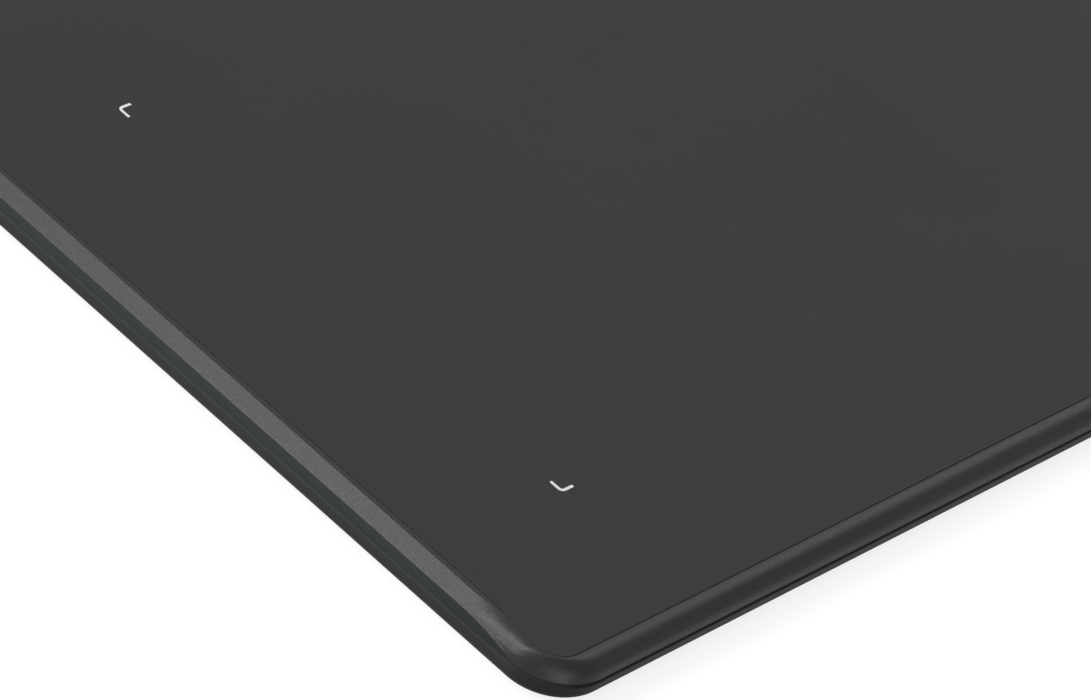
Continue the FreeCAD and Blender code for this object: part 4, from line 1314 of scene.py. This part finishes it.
@dataclass
class Foot:
    """Rubber foot with a rounded lower edge and a shallow groove inside it."""

    name: str
    place: Pair
    length: float = 24.0
    width: float = 9.0
    height: float = 1.3
    edge_round: float = 0.35
    groove_inset: float = 1.5
    groove_width: float = 0.6
    groove_floor: float = 0.3
    groove_depth: float = 0.15

    def outline(self) -> Outline:
        """Outline of the foot."""
        return Outline.slot(self.place, self.length, self.width)

    def build(self) -> list[Piece]:
        """Make the foot.

        Returns:
            The piece.
        """
        outline = self.outline()
        middle, mouth, floor = self.groove_inset, self.groove_width / 2, self.groove_floor / 2
        profile = quarter_round(self.edge_round, 6)
        profile += [(middle - mouth, 0.0), (middle - floor, self.groove_depth)]
        profile += [(middle + floor, self.groove_depth), (middle + mouth, 0.0)]
        skin = Skin()
        upper = skin.ring(outline.ring(0.0, self.height))
        sole = skin.extrude(upper, outline.rings((-inset, height) for inset, height in profile))
        skin.smooth()
        skin.cap(upper)
        skin.cap(sole)
        return [finished(skin.mesh, f"{self.name}_pad", Slot.RUBBER, self.name)]


@dataclass
class CoverScrews:
    """Screws with rounded heads and a cross recess."""

    places: Sequence[Pair]
    head_bottom: float = 1.0
    head_top: float = 1.9
    head_radius: float = 1.9
    shank_radius: float = 0.95
    shank_top: float = 6.1
    head_round: float = 0.4
    recess_depth: float = 0.55
    recess_width: float = 0.6
    recess_reach: float = 1.15
    cut_past: float = 0.1
    mouth_scale: float = 1.1
    floor_scale: float = 0.55

    def build(self) -> list[Piece]:
        """Make all screws as one piece.

        Returns:
            The piece.
        """
        rounds = reversed(quarter_round(self.head_round))
        profile = [(0.0, self.head_bottom)]
        profile += [(self.head_radius - inset, self.head_bottom + drop) for inset, drop in rounds]
        profile += [(self.head_radius, self.head_top), (self.shank_radius, self.head_top)]
        profile += [(self.shank_radius, self.shank_top), (0.0, self.shank_top)]
        recesses = Skin()
        for place in self.places:
            mouth = recesses.ring(self.cross(place, self.mouth_scale, self.head_bottom - self.cut_past))
            floor = self.cross(place, self.floor_scale, self.head_bottom + self.recess_depth)
            recesses.cap(recesses.extrude(mouth, [floor]))
            recesses.cap(mouth)
        screws = lathe(profile, self.places)
        return [finished(screws, "case_screws", Slot.STEEL, "cover_screws", cutter=recesses.mesh)]

    def cross(self, place: Pair, scale: float, height: float) -> Ring:
        """Ring of a cross.

        Args:
            place: x and y of its middle.
            scale: its size as a share of the recess.
            height: height of the points.

        Returns:
            The points in metres.
        """
        narrow, reach = self.recess_width / 2 * scale, self.recess_reach * scale
        middle = Vector((*place, height))
        ring = []
        for quarter in range(4):
            turn = Matrix.Rotation(quarter * math.pi / 2, 3, "Z")
            for x, y in ((reach, narrow), (narrow, narrow), (narrow, reach)):
                ring.append((middle + turn @ Vector((x, y, 0.0))) * MM)
        return ring


@dataclass
class Inlet:
    """Shell of the cable inlet with a rounded mouth, and its contact tongue."""

    x: float = -45.0
    z: float = 3.8
    back: float = 77.6
    mouth: float = 85.0
    width: float = 9.0
    height: float = 3.2
    wall: float = 0.3
    lip_round: float = 0.14
    tongue_size: Triple = (6.7, 5.5, 0.64)
    tongue_bevel: float = 0.12
    contact_count: int = 12
    contact_pitch: float = 0.5
    contact_start: float = 0.9
    contact_size: Triple = (0.26, 3.6, 0.7)

    def outline(self) -> Outline:
        """Outline of the shell, with its height along y."""
        return Outline.slot((self.x, self.z), self.width, self.height)

    def build(self) -> list[Piece]:
        """Make the shell, the tongue and the contacts.

        Returns:
            The three pieces.
        """
        outline, rounds = self.outline(), quarter_round(self.lip_round, 4)
        profile = [(inset, self.mouth - drop) for inset, drop in rounds]
        profile += [(self.wall - inset, self.mouth - drop) for inset, drop in reversed(rounds)]
        profile.append((self.wall, self.back + self.wall))
        skin = Skin()
        outer = skin.ring(outline.upright_ring(0.0, self.back))
        inner = skin.extrude(outer, [outline.upright_ring(-inset, y) for inset, y in profile])
        skin.smooth()
        skin.cap(outer)
        skin.cap(inner)
        shell = finished(skin.mesh, "inlet_sleeve", Slot.STEEL, "inlet_shell")
        tongue, strips = bmesh.new(), bmesh.new()
        self.add_bar(tongue, self.x, 0.0, self.tongue_size)
        bmesh.ops.bevel(
            tongue, geom=tongue.edges[:], offset=self.tongue_bevel * MM, offset_type="OFFSET",
            affect="EDGES", segments=2, profile=0.5, material=-1,
        )
        support = finished(tongue, "contact_tongue", Slot.CHIP, "inlet_tongue")
        for number in range(self.contact_count):
            x = self.x + (number - (self.contact_count - 1) / 2) * self.contact_pitch
            self.add_bar(strips, x, self.contact_start, self.contact_size)
        contacts = finished(strips, "contact_strips", Slot.STEEL)
        contacts.data.materials[0] = material_of(Slot.CONTACT)
        return [shell, support, contacts]

    def add_bar(self, mesh: Mesh, x: float, start: float, size: Triple) -> None:
        """Add a plain bar at the inlet's middle height.

        Args:
            mesh: the mesh that gets it.
            x: its place across the inlet.
            start: its distance from the inner face of the shell's back.
            size: its width, length and height.
        """
        middle = Vector((x, self.back + self.wall + start + size[1] / 2, self.z)) * MM
        shape = Matrix.Diagonal((*(length * MM for length in size), 1.0))
        bmesh.ops.create_cube(mesh, size=1.0, matrix=Matrix.Translation(middle) @ shape)


class CarriedNodes:
    """Nodes whose own shape is right, each given its finish."""

    def build(self) -> list[Piece]:
        """Dress every node that is still shown.

        Returns:
            The nodes.
        """
        slots = {slot.value.name: slot for slot in Slot}
        names = {part["node"]: part["material_slot"] for part in frame["record"]["subparts"]}
        shown = [(name, node) for name, node in sorted(frame["nodes"].items()) if not node.hide_render]
        for name, node in shown:
            for holder in node.material_slots:
                holder.material = material_of(slots[names[name]])
        return [node for _, node in shown]


# The studio


@dataclass(frozen=True)
class Lamp:
    """Rectangular lamp."""

    name: str
    width: float
    height: float
    radiance: float

    def hang(self, place: Vector, turn: Quaternion) -> None:
        """Make the lamp.

        Args:
            place: its middle.
            turn: its turn from facing down.
        """
        data = bpy.data.lights.new(self.name, "AREA")
        data.shape = "RECTANGLE"
        data.size, data.size_y = self.width, self.height
        data.energy = self.radiance * math.pi * self.width * self.height
        lamp = bpy.data.objects.new(self.name, data)
        lamp.matrix_world = Matrix.LocRotScale(place, turn, None)
        bpy.context.scene.collection.objects.link(lamp)


@dataclass(frozen=True)
class Softbox(Lamp):
    """Lamp that faces the object's middle, at an azimuth from the rear towards the right."""

    azimuth: float
    elevation: float
    distance: float = 1.6

    def build(self) -> None:
        """Make the lamp in its direction."""
        turn, rise = math.radians(self.azimuth), math.radians(self.elevation)
        towards = Vector((math.sin(turn) * math.cos(rise), math.cos(turn) * math.cos(rise), math.sin(rise)))
        self.hang(towards * self.distance, (-towards).to_track_quat("-Z", "Y"))


@dataclass(frozen=True)
class FloorPanel(Lamp):
    """Lamp that lies on the floor beside the object and faces up."""

    x: float
    y: float
    lift: float = 0.001

    def build(self) -> None:
        """Make the lamp at its place."""
        self.hang(Vector((self.x, self.y, self.lift)), Quaternion((1.0, 0.0, 0.0), math.pi))


LAMPS = (
    Softbox("left_box", width=0.5, height=0.9, radiance=14.4, azimuth=-65.0, elevation=36.0),
    Softbox("low_box", width=0.5, height=0.68, radiance=6.8, azimuth=-63.0, elevation=10.0),
    Softbox("right_box", width=1.0, height=0.6, radiance=3.4, azimuth=97.0, elevation=50.0),
    Softbox("top_box", width=1.6, height=1.6, radiance=0.8, azimuth=0.0, elevation=88.0, distance=1.8),
    FloorPanel("side_panel", width=0.375, height=0.418, radiance=6.0, x=-0.3125, y=0.141),
    FloorPanel("corner_panel", width=0.015, height=0.015, radiance=2.0, x=-0.1135, y=-0.0935),
)


@dataclass
class Studio:
    """Camera, lamps, pale floor and white surroundings."""

    image_width: int = 1091
    focal_pixels: float = 5881.69
    sensor: float = 36.0
    clip: Pair = (0.05, 20.0)
    camera_place: Triple = (-0.645528, -0.423228, 0.553798)
    camera_across: Triple = (0.6863655, -0.6840698, 0.2468823)
    camera_up: Triple = (0.3097583, 0.5821200, 0.7517886)
    bright_side: Triple = (-0.75, 0.62, 0.23)
    dome_reach: float = 0.9
    dome_low: float = 0.12
    dome_high: float = 0.6
    floor_size: float = 4.0
    floor_colour: float = 0.2
    floor_glow: float = 0.83
    floor_sheen: float = 0.75

    def build(self) -> None:
        """Make everything that isn't the object."""
        self.add_camera()
        self.add_world()
        self.add_floor()
        for lamp in LAMPS:
            lamp.build()
        bpy.context.scene.view_settings.view_transform = "Standard"

    def add_camera(self) -> None:
        """Make the camera at the photograph's viewpoint."""
        data = bpy.data.cameras.new("camera")
        data.sensor_width = self.sensor
        data.lens = self.sensor * self.focal_pixels / self.image_width
        data.clip_start, data.clip_end = self.clip
        camera = bpy.data.objects.new("camera", data)
        across, upwards = Vector(self.camera_across), Vector(self.camera_up)
        turned = Matrix((across, upwards, across.cross(upwards))).transposed().to_4x4()
        camera.matrix_world = Matrix.Translation(self.camera_place) @ turned
        bpy.context.scene.collection.objects.link(camera)
        bpy.context.scene.camera = camera

    def add_world(self) -> None:
        """White surroundings for the camera, a soft dome for light."""
        world = bpy.data.worlds.new("studio")
        bpy.context.scene.world = world
        tree = NodeTree(world)
        direction = tree.add("TexCoord", {}).outputs["Generated"]
        facing = tree.add("VectorMath", {0: direction, 1: self.bright_side}, operation="DOT_PRODUCT")
        reach = self.dome_reach
        dome = tree.remapped(facing.outputs["Value"], self.dome_low, self.dome_high, -reach, reach)
        shown = tree.add("Mix", {"Factor": tree.background_share(), "A": dome, "B": 1.0})
        white = {"Color": (1.0, 1.0, 1.0, 1.0), "Strength": shown.outputs["Result"]}
        background = tree.add("Background", white)
        tree.add("OutputWorld", {"Surface": background.outputs["Background"]})

    def add_floor(self) -> None:
        """Pale floor that is white to the camera and keeps the object's shadow."""
        material = bpy.data.materials.new("floor_paper")
        tree = NodeTree(material)
        grey = self.floor_colour
        paper = tree.add("BsdfDiffuse", {"Color": (grey, grey, grey, 1.0)})
        share = tree.background_share(self.floor_sheen)
        strength = tree.add("Math", {0: share, 1: self.floor_glow}, operation="MULTIPLY")
        glow = tree.add("Emission", {"Strength": strength.outputs["Value"]})
        both = tree.add("AddShader", {0: paper.outputs["BSDF"], 1: glow.outputs["Emission"]})
        tree.add("OutputMaterial", {"Surface": both.outputs["Shader"]})
        mesh = bmesh.new()
        bmesh.ops.create_grid(mesh, x_segments=1, y_segments=1, size=self.floor_size)
        floor = new_object(mesh, "floor", material)


def main() -> None:
    """Build the studio and every piece of the tablet, and report each piece."""
    logging.basicConfig(level=logging.INFO, format="%(message)s")
    housing = Housing()
    sheet, keys, inlet = SheetPlan(housing), KeyRow(housing), Inlet()
    feet = [Foot(name, place) for name, place in FOOT_PLACES.items()]
    bottom = BottomCover(housing, feet, inlet)
    Studio().build()
    parts = [
        TopCover(housing, sheet, keys), DrawingSheet(housing, sheet, keys), bottom, Bezel(keys),
        *[Key(keys, number) for number in KEY_NUMBERS], LightGuide(keys), *feet,
        CoverScrews(bottom.screw_places), inlet, CarriedNodes(),
    ]
    for part in parts:
        for piece in part.build():
            log.info("%s: %d faces of %s", piece.name, len(piece.data.polygons), piece.active_material.name)


if __name__ == "__main__":
    main()
